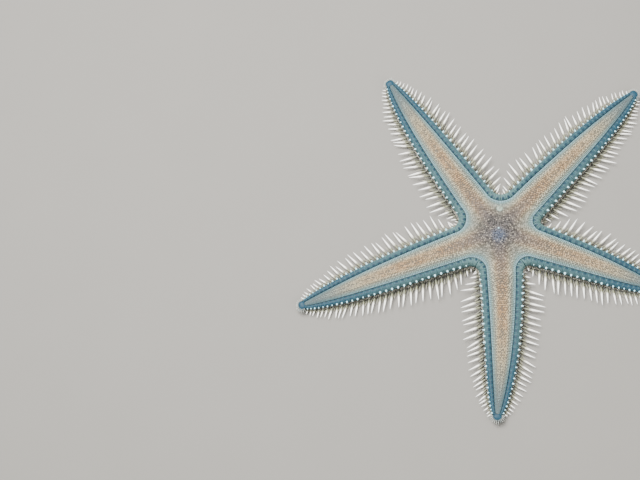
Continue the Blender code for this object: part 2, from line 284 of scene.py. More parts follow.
def layered(tree, colour, *layers, mode="MIX"):
    # Lays each layer's colour over the last, as far as its share and its ramps let it show
    for laid, share, *ramps in layers:
        inputs = {0: masked(tree, share, *ramps), 6: colour, 7: laid}
        colour = add(tree, "ShaderNodeMix", inputs, 2, data_type="RGBA", blend_type=mode)
    return colour


def makeMaterial(name, colouring, look, roughness, grain, strength, depth, detail=3.0, **sockets):
    # A material with its shader's constants, the colours of its look, and a bump of fine grain
    material = bpy.data.materials.new(name)
    material.use_nodes = True
    tree = material.node_tree
    shader = tree.nodes["Principled BSDF"]
    shader.inputs["Roughness"].default_value = roughness
    for key, value in sockets.items():
        shader.inputs[key.replace("_", " ")].default_value = value
    tree.links.new(colouring(tree, look), shader.inputs["Base Color"])
    inputs = {"Height": reading(tree, grain, detail), "Strength": strength, "Distance": depth}
    tree.links.new(add(tree, "ShaderNodeBump", inputs), shader.inputs["Normal"])
    return material


fieldLook = {
    "line": "#81A2A9",  # the cyan line along the field's edge
    "rim": "#739394",
    "border": "#83988E",
    "cream": "#979988",
    "tan": "#9B9277",
    "middle": "#967753",
    "ray": "#6A5D52",  # along the arms' midlines near the disc
    "disc": "#4D4A4A",
    "spot": "#4D5769",  # the slate patch on the disc's middle
    "tip": "#4C6A72",
    "light": "#BBB39D",  # the palest granules: pale crowns by random tone, with painted highlight on their tops
    "gap": "#242421",  # painted shade: the skin in the hollows between the paxillae, and their stems; also the colour of the crowns that are dark by random tone
    "below": "#92866D",
    "belowLight": "#ADA38B",
    # painted shade: a dark spot for the mouth's opening, which the closed skin does not have
    "mouth": "#3A271D",
}


def fieldColour(tree, look):
    # The markings that skin and paxillae share, by place between edge and midline and from the mouth
    inset = reading(tree, "inset")
    wide = add(tree, "ShaderNodeMath", {0: inset, 1: reading(tree, "off")}, operation="ADD")
    share = add(tree, "ShaderNodeMath", {0: inset, 1: wide}, operation="DIVIDE")
    stops = [(0.0, look["line"]), (0.05, look["line"]), (0.11, look["rim"]), (0.2, look["border"]),
             (0.36, look["cream"]), (0.6, look["tan"])]
    patches = (reading(tree, 5 * mm, 2.0), 0.3, 0.7, 0.62)
    return layered(
        tree, add(tree, "ShaderNodeValToRGB", {0: share}, stops=stops),
        (look["middle"], 1.0, ("off", 4.6 * mm, 1 * mm), (share, 0.33, 0.75), ("along", 0.84, 0.42), patches),
        (look["ray"], 0.7, ("off", 3.4 * mm, 0.8 * mm), ("radial", 27 * mm, 15 * mm)),
        (look["disc"], 0.85, ("radial", 18 * mm, 4.5 * mm)),
        (look["spot"], 0.9, ("cone", 4.4 * mm, 1 * mm)),
        (look["tip"], 0.85, ("along", 0.66, 0.94)))


def skinColour(tree, look):
    # Painted shade: the gap colour darkens the upper skin between the paxillae, a little less round the
    # disc's middle
    upper = layered(tree, fieldColour(tree, look), (look["gap"], 0.78, ("radial", 9 * mm, 22 * mm, 0.52)))
    # Below, the mouth colour is painted shade: a dark spot standing for the opening in the mouth's middle
    lower = layered(tree, look["below"], (look["belowLight"], 1.0, (0.5 * mm, 0.35, 0.7)),
                    (look["mouth"], 1.0, ("radial", 0.9 * mm, 0.35 * mm)))
    return layered(tree, upper, (lower, reading(tree, "under")))


def paxillaColour(tree, look):
    # Painted shade darkens the stem under the crown; a share of crowns is dark by random tone, and a share is
    # pale by random tone with a painted highlight on its top
    base, speckle = fieldColour(tree, look), reading(tree, "speckle")
    crown = layered(tree, base, (look["gap"], speckle, ("tone", 0.5, 0.2)))
    stem = layered(tree, base, (look["gap"], 0.55))
    return layered(tree, stem, (crown, 1.0, ("crown", 0.35, 0.85)),
                   (look["light"], speckle, ("tone", 0.55, 0.9), ("crown", 0.8, 0.95)))


plateLook = {
    "dash": "#142F3A",  # on the field side of each upper plate
    "end": "#4E6E72",  # where one plate meets the next
    "groove": "#345761",
    "middle": "#345559",
    "outer": "#506A68",
    "side": "#3C5D60",
    "corner": "#66857E",
    "tip": "#123D4F",
    "deep": "#102938",  # painted shade on the bare plate in the hollows between the granules
    "granule": "#7A9090",
}


def plateColour(tree, look):
    # Blue by place across the plate: a dark dash by the field, then paler outward
    stops = [(0.0, look["groove"]), (0.18, look["middle"]), (0.5, look["middle"]),
             (0.68, look["outer"]), (0.84, look["side"])]
    colour = layered(tree, add(tree, "ShaderNodeValToRGB", {0: reading(tree, "inward")}, stops=stops),
                     (look["corner"], 0.5, ("along", 0.3, 0.16)), (look["tip"], 0.93, ("along", 0.45, 0.85)))
    patches = masked(tree, 1.0, (reading(tree, 1.8 * mm, 2.0), 0.3, 0.7, 0.7))
    colour = layered(tree, colour, (patches, 1.0), mode="MULTIPLY")
    off = add(tree, "ShaderNodeMath", {0: reading(tree, "lengthwise"), 1: 0.5}, operation="SUBTRACT")
    off = add(tree, "ShaderNodeMath", {0: off}, operation="ABSOLUTE")
    return layered(tree, colour, (look["end"], 0.5, (off, 0.3, 0.46)),
                   (look["dash"], 1.0, ("inward", 0.12, 0.22), ("inward", 0.52, 0.4), (off, 0.34, 0.12)))


def barePlateColour(tree, look):
    # Painted shade: the bare plate is darkened where it lies in the hollows between the granules
    return layered(tree, plateColour(tree, look), (look["deep"], 0.3))


def granuleColour(tree, look):
    return layered(tree, plateColour(tree, look), (look["granule"], 0.2, ("tone", 0.4, 1.0)))


def spineColour(tree, look):
    # Skin round the foot up to a third of the length, with an uneven edge, and then bare lime
    grain = reading(tree, 0.6 * mm)
    inputs = {0: grain, 1: 0.1, 2: reading(tree, "crown")}
    place = add(tree, "ShaderNodeMath", inputs, operation="MULTIPLY_ADD")
    stops = [(0.0, look["neck"]), (0.14, look["neck"]), (0.24, look["sheath"]), (0.34, look["sheath"]),
             (0.52, look["white"]), (0.9, look["tip"])]
    shade = layered(tree, "#EFEBDE", ("#FFFFFF", 1.0, (grain, 0.3, 0.62)))
    colour = add(tree, "ShaderNodeValToRGB", {0: place}, stops=stops)
    return layered(tree, colour, (shade, 0.5), mode="MULTIPLY")


def footedColour(tree, look):
    # One colour at the foot and two that patch the rest
    lit = layered(tree, look["top"], (look["palest"], 1.0, (look.get("patch", 0.8 * mm), 0.3, 0.7)))
    return layered(tree, look["foot"], (lit, 1.0, look.get("rising", ("crown", 0.05, 0.6))))


def floorColour(tree, look):
    return layered(tree, look["even"], (look["patch"], reading(tree, 30 * mm)))


smallLooks = {  # name: colours of the foot, the top and the palest patches
    "lowerScales": {"foot": "#4C4E44", "top": "#938F80", "palest": "#C3BEB1"},
    "lowerPlates": {"foot": "#4C4E44", "top": "#857F6C", "palest": "#9A9482",
                    "rising": ("inward", 0.62, 0.82)},
    "furrowSpinelets": {"foot": "#888167", "top": "#B7B2A0", "palest": "#C3BEB1"},
    "tubeFootSkin": {"foot": "#947D56", "top": "#B0A181", "palest": "#C3BEB1"},
    "tipSpinelets": {"foot": "#2B4F5B", "top": "#84918F", "palest": "#B9B7AC"},
    "sievePlate": {"foot": "#566259", "top": "#7C887A", "palest": "#8D9686"},
}
limeSpineLook = {"neck": "#34362A", "sheath": "#6A6A50", "white": "#F5F2E8", "tip": "#FFFEFB"}
sheathedSpineLook = {"neck": "#292B24", "sheath": "#3C3D33", "white": "#5B5A49", "tip": "#98957E"}
tubercleLook = {"foot": "#6F9AA5", "top": "#9CD0DA", "palest": "#C9EFF4", "patch": 0.3 * mm,
                "rising": ("crown", 0.05, 0.45)}
floorLook = {"even": "#74716B", "patch": "#77746E"}

materials = {
    # Living skin between the paxillae: soft and wet, darkened with painted shade on the upper field and with
    # a painted dark spot at the mouth
    "skin": makeMaterial("livingSkin", skinColour, fieldLook, 0.62, 0.22 * mm, 0.5, 0.12 * mm, 4.0, IOR=1.4),
    # Crowns of tiny chalky granules on stems: dull, with painted highlights on the tops of some crowns and
    # painted shade on the stems where they meet the skin
    "paxilla": makeMaterial("paxillaChalk", paxillaColour, fieldLook, 0.7, 0.12 * mm, 0.3, 0.05 * mm,
                            IOR=1.45, Specular_IOR_Level=0.35),
    # Limy plate under thin blue skin, satin where it is smooth, darkened with painted shade between its
    # granules
    "plate": makeMaterial("blueLimePlate", barePlateColour, plateLook, 0.5, 0.25 * mm, 0.5, 0.1 * mm, 4.0,
                          IOR=1.5, Specular_IOR_Level=0.2),
    # Fine limy granules on the blue plates, a little paler than the plate between them, which carries painted
    # shade
    "granule": makeMaterial("blueGranules", granuleColour, plateLook, 0.55, 0.1 * mm, 0.2, 0.03 * mm,
                            IOR=1.5, Specular_IOR_Level=0.2),
    # Lime spine: an olive sheath of skin at its foot, then bare, hard and white
    "spine": makeMaterial("limeSpine", spineColour, limeSpineLook, 0.42, 0.15 * mm, 0.25, 0.04 * mm, 2.0,
                          IOR=1.55),
    # The thin ones keep more of their skin and are duller
    "thinSpine": makeMaterial("sheathedSpine", spineColour, sheathedSpineLook, 0.42, 0.15 * mm, 0.25,
                              0.04 * mm, 2.0, IOR=1.55),
    # The short spines on the upper plates: enamel-like, cold white, grey-blue at the foot
    "tubercle": makeMaterial("limeTubercle", footedColour, tubercleLook, 0.38, 0.3 * mm, 0.2, 0.03 * mm,
                             IOR=1.55),
    # A matt grey board, nearly even
    "floor": makeMaterial("plainFloor", floorColour, floorLook, 0.85, 1.5 * mm, 0.05, 0.05 * mm),
}
for name, look in smallLooks.items():  # pale lime with a trace of skin at the feet, all of one dull finish
    materials[name] = makeMaterial(name, footedColour, look, 0.55, 0.12 * mm, 0.25, 0.04 * mm, IOR=1.5)


# Meshes


def meshObject(name, verts, faces, material=None, values=None, smooth=60, place=mouthPlace):
    # An object whose mesh is moved to its place, with one value a vertex for each attribute
    mesh = bpy.data.meshes.new(name)
    mesh.from_pydata((np.asarray(verts) + place).tolist(), [], [tuple(f) for f in faces])
    for key, each in (values or {}).items():
        each = np.asarray(each, np.float32)
        kind, field = ("FLOAT_VECTOR", "vector") if each.ndim == 2 else ("FLOAT", "value")
        mesh.attributes.new(key, kind, "POINT").data.foreach_set(field, each.ravel())
    if material:
        mesh.materials.append(material)
    if len(mesh.polygons) and smooth:
        mesh.shade_smooth()
        mesh.set_sharp_from_angle(angle=math.radians(smooth))
    obj = bpy.data.objects.new(name, mesh)
    bpy.context.scene.collection.objects.link(obj)
    return obj


def ringFaces(rings, count, start=0, closed=True):
    # Quads between rings of points, with a cap at each end
    faces = []
    for r in range(rings - 1):
        for i in range(count):
            j = (i + 1) % count
            a, b = start + r * count, start + (r + 1) * count
            faces.append((a + i, a + j, b + j, b + i))
    if closed:
        faces.append(tuple(range(start + count - 1, start - 1, -1)))
        faces.append(tuple(start + (rings - 1) * count + i for i in range(count)))
    return faces


def outwardFaces(obj, weld=None):
    # Turns all faces outward, after welding doubles and closing holes where a weld is given
    bm = bmesh.new()
    bm.from_mesh(obj.data)
    if weld:
        bmesh.ops.remove_doubles(bm, verts=bm.verts, dist=weld)
        bmesh.ops.holes_fill(bm, edges=[e for e in bm.edges if e.is_boundary], sides=0)
    bmesh.ops.recalc_face_normals(bm, faces=bm.faces)
    bm.to_mesh(obj.data)
    bm.free()
    return obj


def finished(obj, slot, *nodes):
    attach(obj, "root")
    if nodes:
        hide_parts(*nodes)
    return obj


# The skin: ten half arms, each a grid of rows that fan out from the mouth

skinShape = {
    "rows": 118,
    "topColumns": 17,
    "underColumns": 11,
    "furrowColumns": 9,
    "wallFalls": (0.12, 0.45, 0.8),  # shares of the height from the field's edge to the underside
    "coatDepth": 0.42 * mm,  # the paxillae stand this high over the skin
    "baseHeight": 0.45 * mm,  # of the underside, which the scales cover
    "wallInset": -0.04 * mm,
    "cornerBlend": 5 * mm,  # this near to a corner's middle the edge's height is that of cornerShare
    "cornerShare": 0.15,
    "planeBlend": 2 * mm,  # and this near, the furrows of two arms meet
    "furrowLimits": (0.24, 0.6),  # of the furrow's half width, as a share of the row
    "weld": 0.004 * mm,
}


def prepareRows():
    # Sets the midline share that each row starts from, the same for both halves of an arm
    for index in range(5):
        pair = paths[2 * index:2 * index + 2]
        shares = []
        for path in pair:
            distance = path["rowDistance"] = np.linspace(0, path["length"], skinShape["rows"])
            along = shareOf(path, planPoint(path, distance))
            shares.append(along - along[0] * (1 - np.minimum(distance / bodyPlan["fan"], 1)) ** 2)
        for path in pair:
            path["rowShare"] = np.mean(shares, axis=0)


def fieldRow(path, distance):
    # Both ends of the rows at these distances: edge point, midline point, their shares and heights
    edge = planPoint(path, distance)
    edgeShare = shareOf(path, edge)
    share = np.interp(distance, path["rowDistance"], path["rowShare"])
    atCorner = np.exp(-((distance / skinShape["cornerBlend"]) ** 2))
    heightShare = edgeShare * (1 - atCorner) + skinShape["cornerShare"] * atCorner
    high = edgeHeight(heightShare) + tipLift(heightShare)
    top = middleHeight(path["arm"], share) + tipLift(share)
    return edge, midline(path["arm"], share), edgeShare, share, high, top


def fieldValues(path, place):
    # What the colours are worked out from: metres from the mouth, the cone and the arm's midline
    return {
        "radial": np.hypot(place[..., 0], place[..., 1]),
        "cone": np.hypot(place[..., 0] - coneMiddle[0], place[..., 1] - coneMiddle[1]),
        "off": np.abs(offMidline(path, place, shareOf(path, place))),
    }


def fieldSurface(path, distance, across):
    # The upper surface of the coat; across is 0 on the midline and 1 on the field's edge
    edge, middle, edgeShare, share, high, top = fieldRow(path, distance)
    power = 2 + 0.5 * np.clip(distance / bodyPlan["fan"], 0, 1)
    place = middle + (edge - middle) * across[..., None]
    values = fieldValues(path, place)
    place[..., 2] = high + (top - high) * (1 - across**power)
    place[..., 2] += bodyPlan["coneHeight"] * np.exp(-((values["cone"] / bodyPlan["coneRadius"]) ** 2))
    values["inset"] = (1 - across) * np.linalg.norm(edge - middle, axis=-1)
    values["along"] = share + (edgeShare - share) * across
    values["speckle"] = np.clip((values["inset"] - 1.6 * mm) / (3 * mm), 0, 1) * np.interp(
        values["radial"], (3 * mm, 8 * mm, 13 * mm, 24 * mm), (0.9, 0.58, 0.38, 0.38))
    return place, values


unwrap = {
    "strip": (0.08, 0.84),  # the start and the width of what a strip holds, as shares of its width
    "length": (0.03, 0.94),  # and along it
    "girth": 26 * mm,  # round half an arm
}

girths = {  # how far round half an arm each kind of piece lies
    "upperPlates": 7 * mm, "tips": 9 * mm, "tubercles": 10 * mm, "lowerPlates": 12 * mm, "spines": 14 * mm,
    "scales": 18 * mm, "jaws": 19 * mm, "jawSpinelets": 21 * mm, "furrowSpines": 22 * mm, "tubeFeet": 24 * mm,
}


def unwrapped(path, distance, girth):
    # A place on the unwrap: one strip for each half arm, girth metres from its upper midline
    strip = 2 * path["index"] + (path["side"] < 0)
    (left, wide), (low, high) = unwrap["strip"], unwrap["length"]
    u = (strip + left + wide * np.clip(girth / unwrap["girth"], 0, 1)) / len(paths)
    v = low + high * distance / path["length"]
    return np.stack([u + 0 * v, v + 0 * u, 0 * u + 0 * v], -1)


def furrowEdge(path, edge, share):
    # The furrow's half width as a share of the way from the midline to the field's edge
    off = np.abs(offMidline(path, edge, share))
    wide = fieldHalf(share) * bodyPlan["furrowShare"]
    return np.clip(wide / np.maximum(off, 1e-5), *skinShape["furrowLimits"])


def dome(radial, radius):
    return np.sqrt(np.maximum(0, 1 - (radial / radius) ** 2))


def underHeight(path, place, distance):
    # Height of the underside: flat, with the furrow under the arm and the mouth in the middle
    share = shareOf(path, place)
    neighbour = armAxes(armTable[(path["index"] - path["side"]) % 5])[0]
    half = math.acos(path["forward"] @ neighbour) / 2
    radial = np.hypot(place[..., 0], place[..., 1])
    atPlane = np.exp(-((distance / skinShape["planeBlend"]) ** 2))
    off = np.abs(offMidline(path, place, share)) * (1 - atPlane) + radial * math.sin(half) * atPlane
    width = np.maximum(fieldHalf(np.clip(share, 0, 1)) * bodyPlan["furrowShare"], 1e-5)
    depth = edgeHeight(share) * bodyPlan["furrowDepth"] * dome(off, width)
    well = bodyPlan["mouthDepth"] * dome(radial, bodyPlan["mouthRadius"])
    return skinShape["baseHeight"] + np.maximum(depth, well) + tipLift(share)


def coatDepthAt(share):
    return skinShape["coatDepth"] * sized(0.35, share, fieldHalf)


def skinGrid(path):
    distance = path["rowDistance"]
    edge, middle, edgeShare, share, _, _ = fieldRow(path, distance)
    across = np.linspace(0, 1, skinShape["topColumns"]) ** 0.85
    size = (len(distance), 1)
    place, values = fieldSurface(path, np.tile(distance[:, None], len(across)), np.tile(across, size))
    place[..., 2] -= coatDepthAt(share)[:, None] * (1 - 0.5 * across**6)
    wall = edge + unit(middle - edge) * skinShape["wallInset"]
    foot = skinShape["baseHeight"] + tipLift(edgeShare)
    columns = []
    for fall in skinShape["wallFalls"]:
        columns.append(wall * (1, 1, 0) + up * (place[:, -1, 2] * (1 - fall) + foot * fall)[:, None])
    furrow = furrowEdge(path, edge, edgeShare)
    steps = [1 + (furrow - 1) * t for t in np.linspace(0, 1, skinShape["underColumns"])]
    steps += [furrow * math.cos(t * math.pi / 2) for t in np.linspace(0, 1, skinShape["furrowColumns"])[1:]]
    for step in steps:
        point = middle + (wall - middle) * step[:, None]
        point[:, 2] = underHeight(path, point, distance)
        columns.append(point)
    lower = np.stack(columns, 1)
    grid = np.concatenate([place, lower], 1)
    values = {key: np.concatenate([each, np.zeros(lower.shape[:2])], 1) for key, each in values.items()}
    values.update(fieldValues(path, grid))
    values["under"] = np.concatenate([np.zeros(place.shape[:2]), np.ones(lower.shape[:2])], 1)
    return grid, values


def makeSkin():
    grids = [skinGrid(path) for path in paths]
    for index in range(5):  # rows and columns that two half arms share are made the same
        left, right = grids[2 * index][0], grids[2 * index + 1][0]
        for column in (0, -1):
            left[:, column] = right[:, column] = (left[:, column] + right[:, column]) / 2
        other = grids[2 * ((index - 1) % 5) + 1][0]
        left[0] = other[0] = (left[0] + other[0]) / 2
    faces = []
    for i, (grid, _) in enumerate(grids):
        number = i * grid[..., 0].size + np.arange(grid[..., 0].size).reshape(grid.shape[:2])
        corners = [number[:-1, :-1], number[1:, :-1], number[1:, 1:], number[:-1, 1:]]
        faces += np.stack(corners, -1).reshape(-1, 4).tolist()
    verts = np.vstack([grid.reshape(-1, 3) for grid, _ in grids])
    joined = {key: np.concatenate([its[key].ravel() for _, its in grids]) for key in grids[0][1]}
    obj = outwardFaces(meshObject("skin", verts, faces, materials["skin"], joined), skinShape["weld"])
    obj.data.shade_smooth()
    finished(obj, "sand_skin", "disc", *[f"arm_{i}" for i in armNumbers])
    print("skin:", len(obj.data.polygons), "faces")


prepareRows()
makeSkin()


# Trees that set small pieces on the surfaces


def growTree(name, sizes, scattered):
    # Sets the piece on each root point, along its growth, or scatters it over a surface no nearer
    # than Spacing; realizes it all and gives it its tone, bend, bake patch and material
    tree = bpy.data.node_groups.new(name, "GeometryNodeTree")
    sockets = {"Geometry": "Geometry", "Piece": "Object", **dict.fromkeys(sizes, "Float"), "Seed": "Int",
               "Material": "Material"}
    for key, kind in sockets.items():
        tree.interface.new_socket(key, in_out="INPUT", socket_type="NodeSocket" + kind)
    tree.interface.new_socket("Geometry", in_out="OUTPUT", socket_type="NodeSocketGeometry")
    given = add(tree, "NodeGroupInput").node.outputs
    vectors = ["bend", "rootPlace", "patch"] + (["lean"] if scattered else ["growth", "face"])
    numbers = ["crown"] + (["size", "cover"] if scattered else ["girth", "reach"])
    own = {key: add(tree, "GeometryNodeInputNamedAttribute", {"Name": key}, data_type=kind)
           for keys, kind in ((vectors, "FLOAT_VECTOR"), (numbers, "FLOAT")) for key in keys}
    low = add(tree, "ShaderNodeMath", {0: 1.0, 1: given["Variation"]}, operation="SUBTRACT")
    high = add(tree, "ShaderNodeMath", {0: 1.0, 1: given["Variation"]}, operation="ADD")
    limits = {2: low, 3: high, "Seed": given["Seed"]}
    vary = add(tree, "FunctionNodeRandomValue", limits, 1, data_type="FLOAT")
    if scattered:
        crowd = add(tree, "ShaderNodeMath", {0: given["Spacing"], 1: 2.0}, operation="POWER")
        crowd = add(tree, "ShaderNodeMath", {0: 2.5, 1: crowd}, operation="DIVIDE")
        points = add(tree, "GeometryNodeDistributePointsOnFaces",
                     {"Mesh": given["Geometry"], "Distance Min": given["Spacing"], "Density Max": crowd,
                      "Density Factor": own["cover"], "Seed": given["Seed"]}, distribute_method="POISSON")
        face = points.node.outputs["Normal"]
        growth = add(tree, "ShaderNodeVectorMath", {0: face, 1: own["lean"]}, operation="ADD")
        vary = add(tree, "ShaderNodeMath", {0: vary, 1: own["size"]}, operation="MULTIPLY")
        girth = add(tree, "ShaderNodeMath", {0: given["Girth"], 1: vary}, operation="MULTIPLY")
        reach = add(tree, "ShaderNodeMath", {0: given["Reach"], 1: vary}, operation="MULTIPLY")
    else:
        points, face, growth, reach = given["Geometry"], own["face"], own["growth"], own["reach"]
        girth = add(tree, "ShaderNodeMath", {0: own["girth"], 1: vary}, operation="MULTIPLY")
    size = add(tree, "ShaderNodeCombineXYZ", {0: girth, 1: girth, 2: reach})
    turn = add(tree, "FunctionNodeAxesToRotation", {0: growth, 1: face}, primary_axis="Z", secondary_axis="Y")
    piece = add(tree, "GeometryNodeObjectInfo", {"Object": given["Piece"]}, "Geometry")
    placed = add(tree, "GeometryNodeInstanceOnPoints",
                 {"Points": points, "Instance": piece, "Rotation": turn, "Scale": size})
    limits = {2: 0.0, 3: 1.0, "Seed": given["Seed"]}
    drawn = add(tree, "FunctionNodeRandomValue", limits, 1, data_type="FLOAT")
    toned = add(tree, "GeometryNodeStoreNamedAttribute", {"Geometry": placed, "Name": "tone", "Value": drawn},
                data_type="FLOAT", domain="INSTANCE")
    real = add(tree, "GeometryNodeRealizeInstances", {"Geometry": toned})
    square = add(tree, "ShaderNodeMath", {0: own["crown"], 1: 2.0}, operation="POWER")
    offset = add(tree, "ShaderNodeVectorMath", {0: own["bend"], "Scale": square}, operation="SCALE")
    bent = add(tree, "GeometryNodeSetPosition", {"Geometry": real, "Offset": offset})
    patch = add(tree, "ShaderNodeVectorMath", {0: own["rootPlace"], 1: own["patch"]}, operation="ADD")
    baked = add(tree, "GeometryNodeStoreNamedAttribute", {"Geometry": bent, "Name": "OFBake", "Value": patch},
                data_type="FLOAT2", domain="CORNER")
    dressed = add(tree, "GeometryNodeSetMaterial", {"Geometry": baked, "Material": given["Material"]})
    add(tree, "NodeGroupOutput", {"Geometry": dressed})
    return tree


growOnRoots = growTree("growOnRoots", ("Variation",), False)
growOnSurface = growTree("growOnSurface", ("Spacing", "Girth", "Reach", "Variation"), True)


def grown(obj, tree, **inputs):
    # Runs a tree on an object with its named inputs set, and leaves the plain result
    modifier = obj.modifiers.new("grow", "NODES")
    modifier.node_group = tree
    for item in tree.interface.items_tree:
        key = item.name[0].lower() + item.name[1:]
        if item.in_out == "INPUT" and key in inputs:
            modifier[item.identifier] = inputs[key]
    obj.update_tag()
    bpy.context.view_layer.update()
    mesh = bpy.data.meshes.new_from_object(obj.evaluated_get(bpy.context.evaluated_depsgraph_get()))
    obj.modifiers.clear()
    obj.data = mesh
    return obj


bakePatch = 0.003  # the width of each piece's patch on the unwrap


def turned(name, profile, sides, flat=1.0, lobes=0.0):
    # A small piece to repeat, one long and about one wide: rings of (height, half width) and a point
    verts, patch, crown = [], [], []
    angles = np.arange(sides) * 2 * math.pi / sides
    for height, half in profile[:-1]:
        for a in angles:
            wave = lobes * math.cos(a * sides / 2) * (height > 0.3)
            wide = half * (1 + wave)
            verts.append((wide * math.cos(a), wide * flat * math.sin(a), height + wave))
            patch.append(((a / 2 / math.pi - 0.5) * bakePatch, (height - 0.5) * bakePatch, 0))
        crown += [max(0, height)] * sides
    top = profile[-1][0]
    verts.append((0, 0, top))
    patch.append((0, (top - 0.5) * bakePatch, 0))
    crown.append(top)
    faces = ringFaces(len(profile) - 1, sides, closed=False)
    faces.append(tuple(range(sides - 1, -1, -1)))
    last = (len(profile) - 2) * sides
    faces += [(last + i, last + (i + 1) % sides, len(verts) - 1) for i in range(sides)]
    return meshObject(name, verts, faces, None, {"crown": crown, "patch": patch}, 80, (0, 0, 0))


unitPieces = {
    # A stem and a lobed crown of granules, seen from above as a small flower
    "paxilla": turned("unitPaxilla", [(-0.1, 0.5), (0.6, 1.0), (0.86, 0.8), (0.76, 0.5), (0.98, 0.27),
                                      (1.03, 0)], 12, lobes=0.1),
    "granule": turned("unitGranule", [(-0.4, 0.95), (0.5, 0.88), (1.0, 0)], 5),
    "scale": turned("unitScale", [(-0.15, 0.85), (0.4, 1.0), (0.82, 0.68), (1.0, 0)], 5, flat=0.5),
    "tubercle": turned("unitTubercle", [(-0.25, 1.1), (0.0, 1.05), (0.3, 0.88), (0.6, 0.62), (0.85, 0.33),
                                        (1.0, 0)], 14),
    "spine": turned("unitSpine", [(-0.07, 0.68), (0.0, 0.8), (0.07, 0.94), (0.17, 0.88), (0.28, 1.0),
                                  (0.4, 0.97), (0.54, 0.82), (0.68, 0.62), (0.81, 0.4), (0.92, 0.19),
                                  (1.0, 0)], 10, flat=0.66),
    "thinSpine": turned("unitThinSpine", [(-0.07, 0.7), (0.08, 0.86), (0.32, 0.94), (0.5, 1.0), (0.75, 0.7),
                                          (0.92, 0.3), (1.0, 0)], 6, flat=0.7),
    "spinelet": turned("unitSpinelet", [(-0.1, 0.95), (0.4, 0.95), (0.8, 0.55), (1.0, 0)], 5, flat=0.75),
    "tubeFoot": turned("unitTubeFoot", [(-0.1, 0.85), (0.05, 1.0), (0.25, 0.82), (0.42, 0.9), (0.6, 0.7),
                                        (0.75, 0.62), (0.92, 0.28), (1.0, 0)], 7),
}


def joinedRoots(parts):
    return {key: np.concatenate([part[key] for part in parts]) for key in parts[0]}


def picked(roots, mask):
    return {key: value[mask] for key, value in roots.items()}


def stacked(rows):
    return {key: np.array([row[key] for row in rows], float) for key in rows[0]}


def rootRow(place, growth, reach, girth, rootPlace, bend=0.0, facing=up, **more):
    # One root; the piece's flat side turns to facing, and one that hangs ends just over the floor
    growth = unit(growth)
    if growth[2] < 0:
        reach = min(reach, (place[2] - bodyPlan["floorClear"]) / -growth[2])
    face = unit(np.cross(np.cross(growth, facing), growth))
    return {"place": place, "growth": growth, "face": face, "reach": reach, "girth": girth,
            "rootPlace": rootPlace, "bend": bend + np.zeros(3), **more}


def growRoots(name, roots, piece, material, variation, seed, slot, *nodes):
    values = {key: each for key, each in roots.items() if key not in ("place", "arm", "local")}
    obj = meshObject(name, roots["place"], [], None, values)
    grown(obj, growOnRoots, piece=unitPieces[piece], variation=variation, seed=seed,
          material=materials[material])
    finished(obj, slot, *nodes)


def thinned(roots, share):
    # Keeps each root that has none kept before it within share of the local pitch
    cell = roots["local"].max()
    kept, grid = [], {}
    for i, (place, local) in enumerate(zip(roots["place"], roots["local"])):
        x, y = int(place[0] // cell), int(place[1] // cell)
        near = [j for a in (-1, 0, 1) for b in (-1, 0, 1) for j in grid.get((x + a, y + b), ())]
        if all(np.hypot(*(roots["place"][j] - place)[:2]) > share * local for j in near):
            grid.setdefault((x, y), []).append(i)
            kept.append(i)
    return picked(roots, np.array(kept))


# The paxillae of the upper field

paxillaSizes = {
    "pitch": 0.82 * mm,
    "edgePitch": 0.55 * mm,
    "edgeRows": (0.5, 1.5, 2.6),  # of the small ones along the field's edge, in edge pitches
    "rowShare": 0.92,  # of the pitch, from row to row
    "start": 0.2 * mm,
    "end": 0.995,
    "smallest": 0.55,  # of their size, at the tip
    "discShare": 0.76,  # of the pitch, round the disc's middle
    "radius": 0.375 * mm,
    "reachDraw": (0.9, 1.12),
    "jitter": 0.16,
    "edgeJitter": 0.25,  # of that, for those along the edge
    "crowding": 0.74,  # roots nearer than this share of the pitch are thinned out
    "discGirth": 1.22,  # how much fuller the crowns on the disc are
    "cone": 2.2 * mm,  # those this near to the cone's middle belong to it
    "sieve": 1.5 * mm,  # none this near to the sieve plate's middle
    "seed": 11,
}


def paxillaRoots(path, draw):
    sizes, parts = paxillaSizes, []
    distance, odd = sizes["start"], False
    while distance < path["length"] * sizes["end"]:
        edge, middle, edgeShare = fieldRow(path, np.array([distance]))[:3]
        span = float(np.linalg.norm(edge - middle))
        taper = sized(sizes["smallest"], float(edgeShare[0]), fieldHalf)
        pitch, edgePitch = sizes["pitch"] * taper, sizes["edgePitch"] * taper
        insets = [edgePitch * row for row in sizes["edgeRows"]]
        inset = insets[-1] + pitch * (0.5 if odd else 1.0)
        while inset < span:
            insets.append(inset)
            inset += pitch
        insets = np.array([x for x in insets if x < span])
        local = np.where(insets < edgePitch * 3, edgePitch, pitch)
        count = len(insets)
        jitter = local * sizes["jitter"]
        loose = np.where(insets < edgePitch * 2, sizes["edgeJitter"], 1.0)
        away = np.clip(insets + draw.uniform(-1, 1, count) * jitter * loose, 0.1 * mm, span)
        spot = np.clip(distance + draw.uniform(-1, 1, count) * jitter, 0, path["length"])
        across = 1 - away / span
        place, values = fieldSurface(path, spot, across)
        ahead = fieldSurface(path, spot + 0.1 * mm, across)[0] - place
        aside = fieldSurface(path, spot, np.clip(across + 0.02, 0, 1.02))[0] - place
        growth = unit(np.cross(ahead, aside) * path["side"])
        growth *= np.sign(growth[:, 2:3])
        local = local * np.interp(values["radial"], (3 * mm, 12 * mm), (sizes["discShare"], 1))
        fuller = np.interp(values["radial"], (10 * mm, 20 * mm), (sizes["discGirth"], 1))
        depth = coatDepthAt(values["along"])
        parts.append({
            "place": place - growth * depth[:, None], "growth": growth, "local": local,
            "reach": depth * draw.uniform(*sizes["reachDraw"], count),
            "girth": sizes["radius"] * local / sizes["pitch"] * fuller,
            "rootPlace": unwrapped(path, spot, span - away), "bend": np.zeros((count, 3)),
            "arm": np.full(count, path["index"]), **values,
        })
        distance += pitch * sizes["rowShare"]
        odd = not odd
    return joinedRoots(parts)


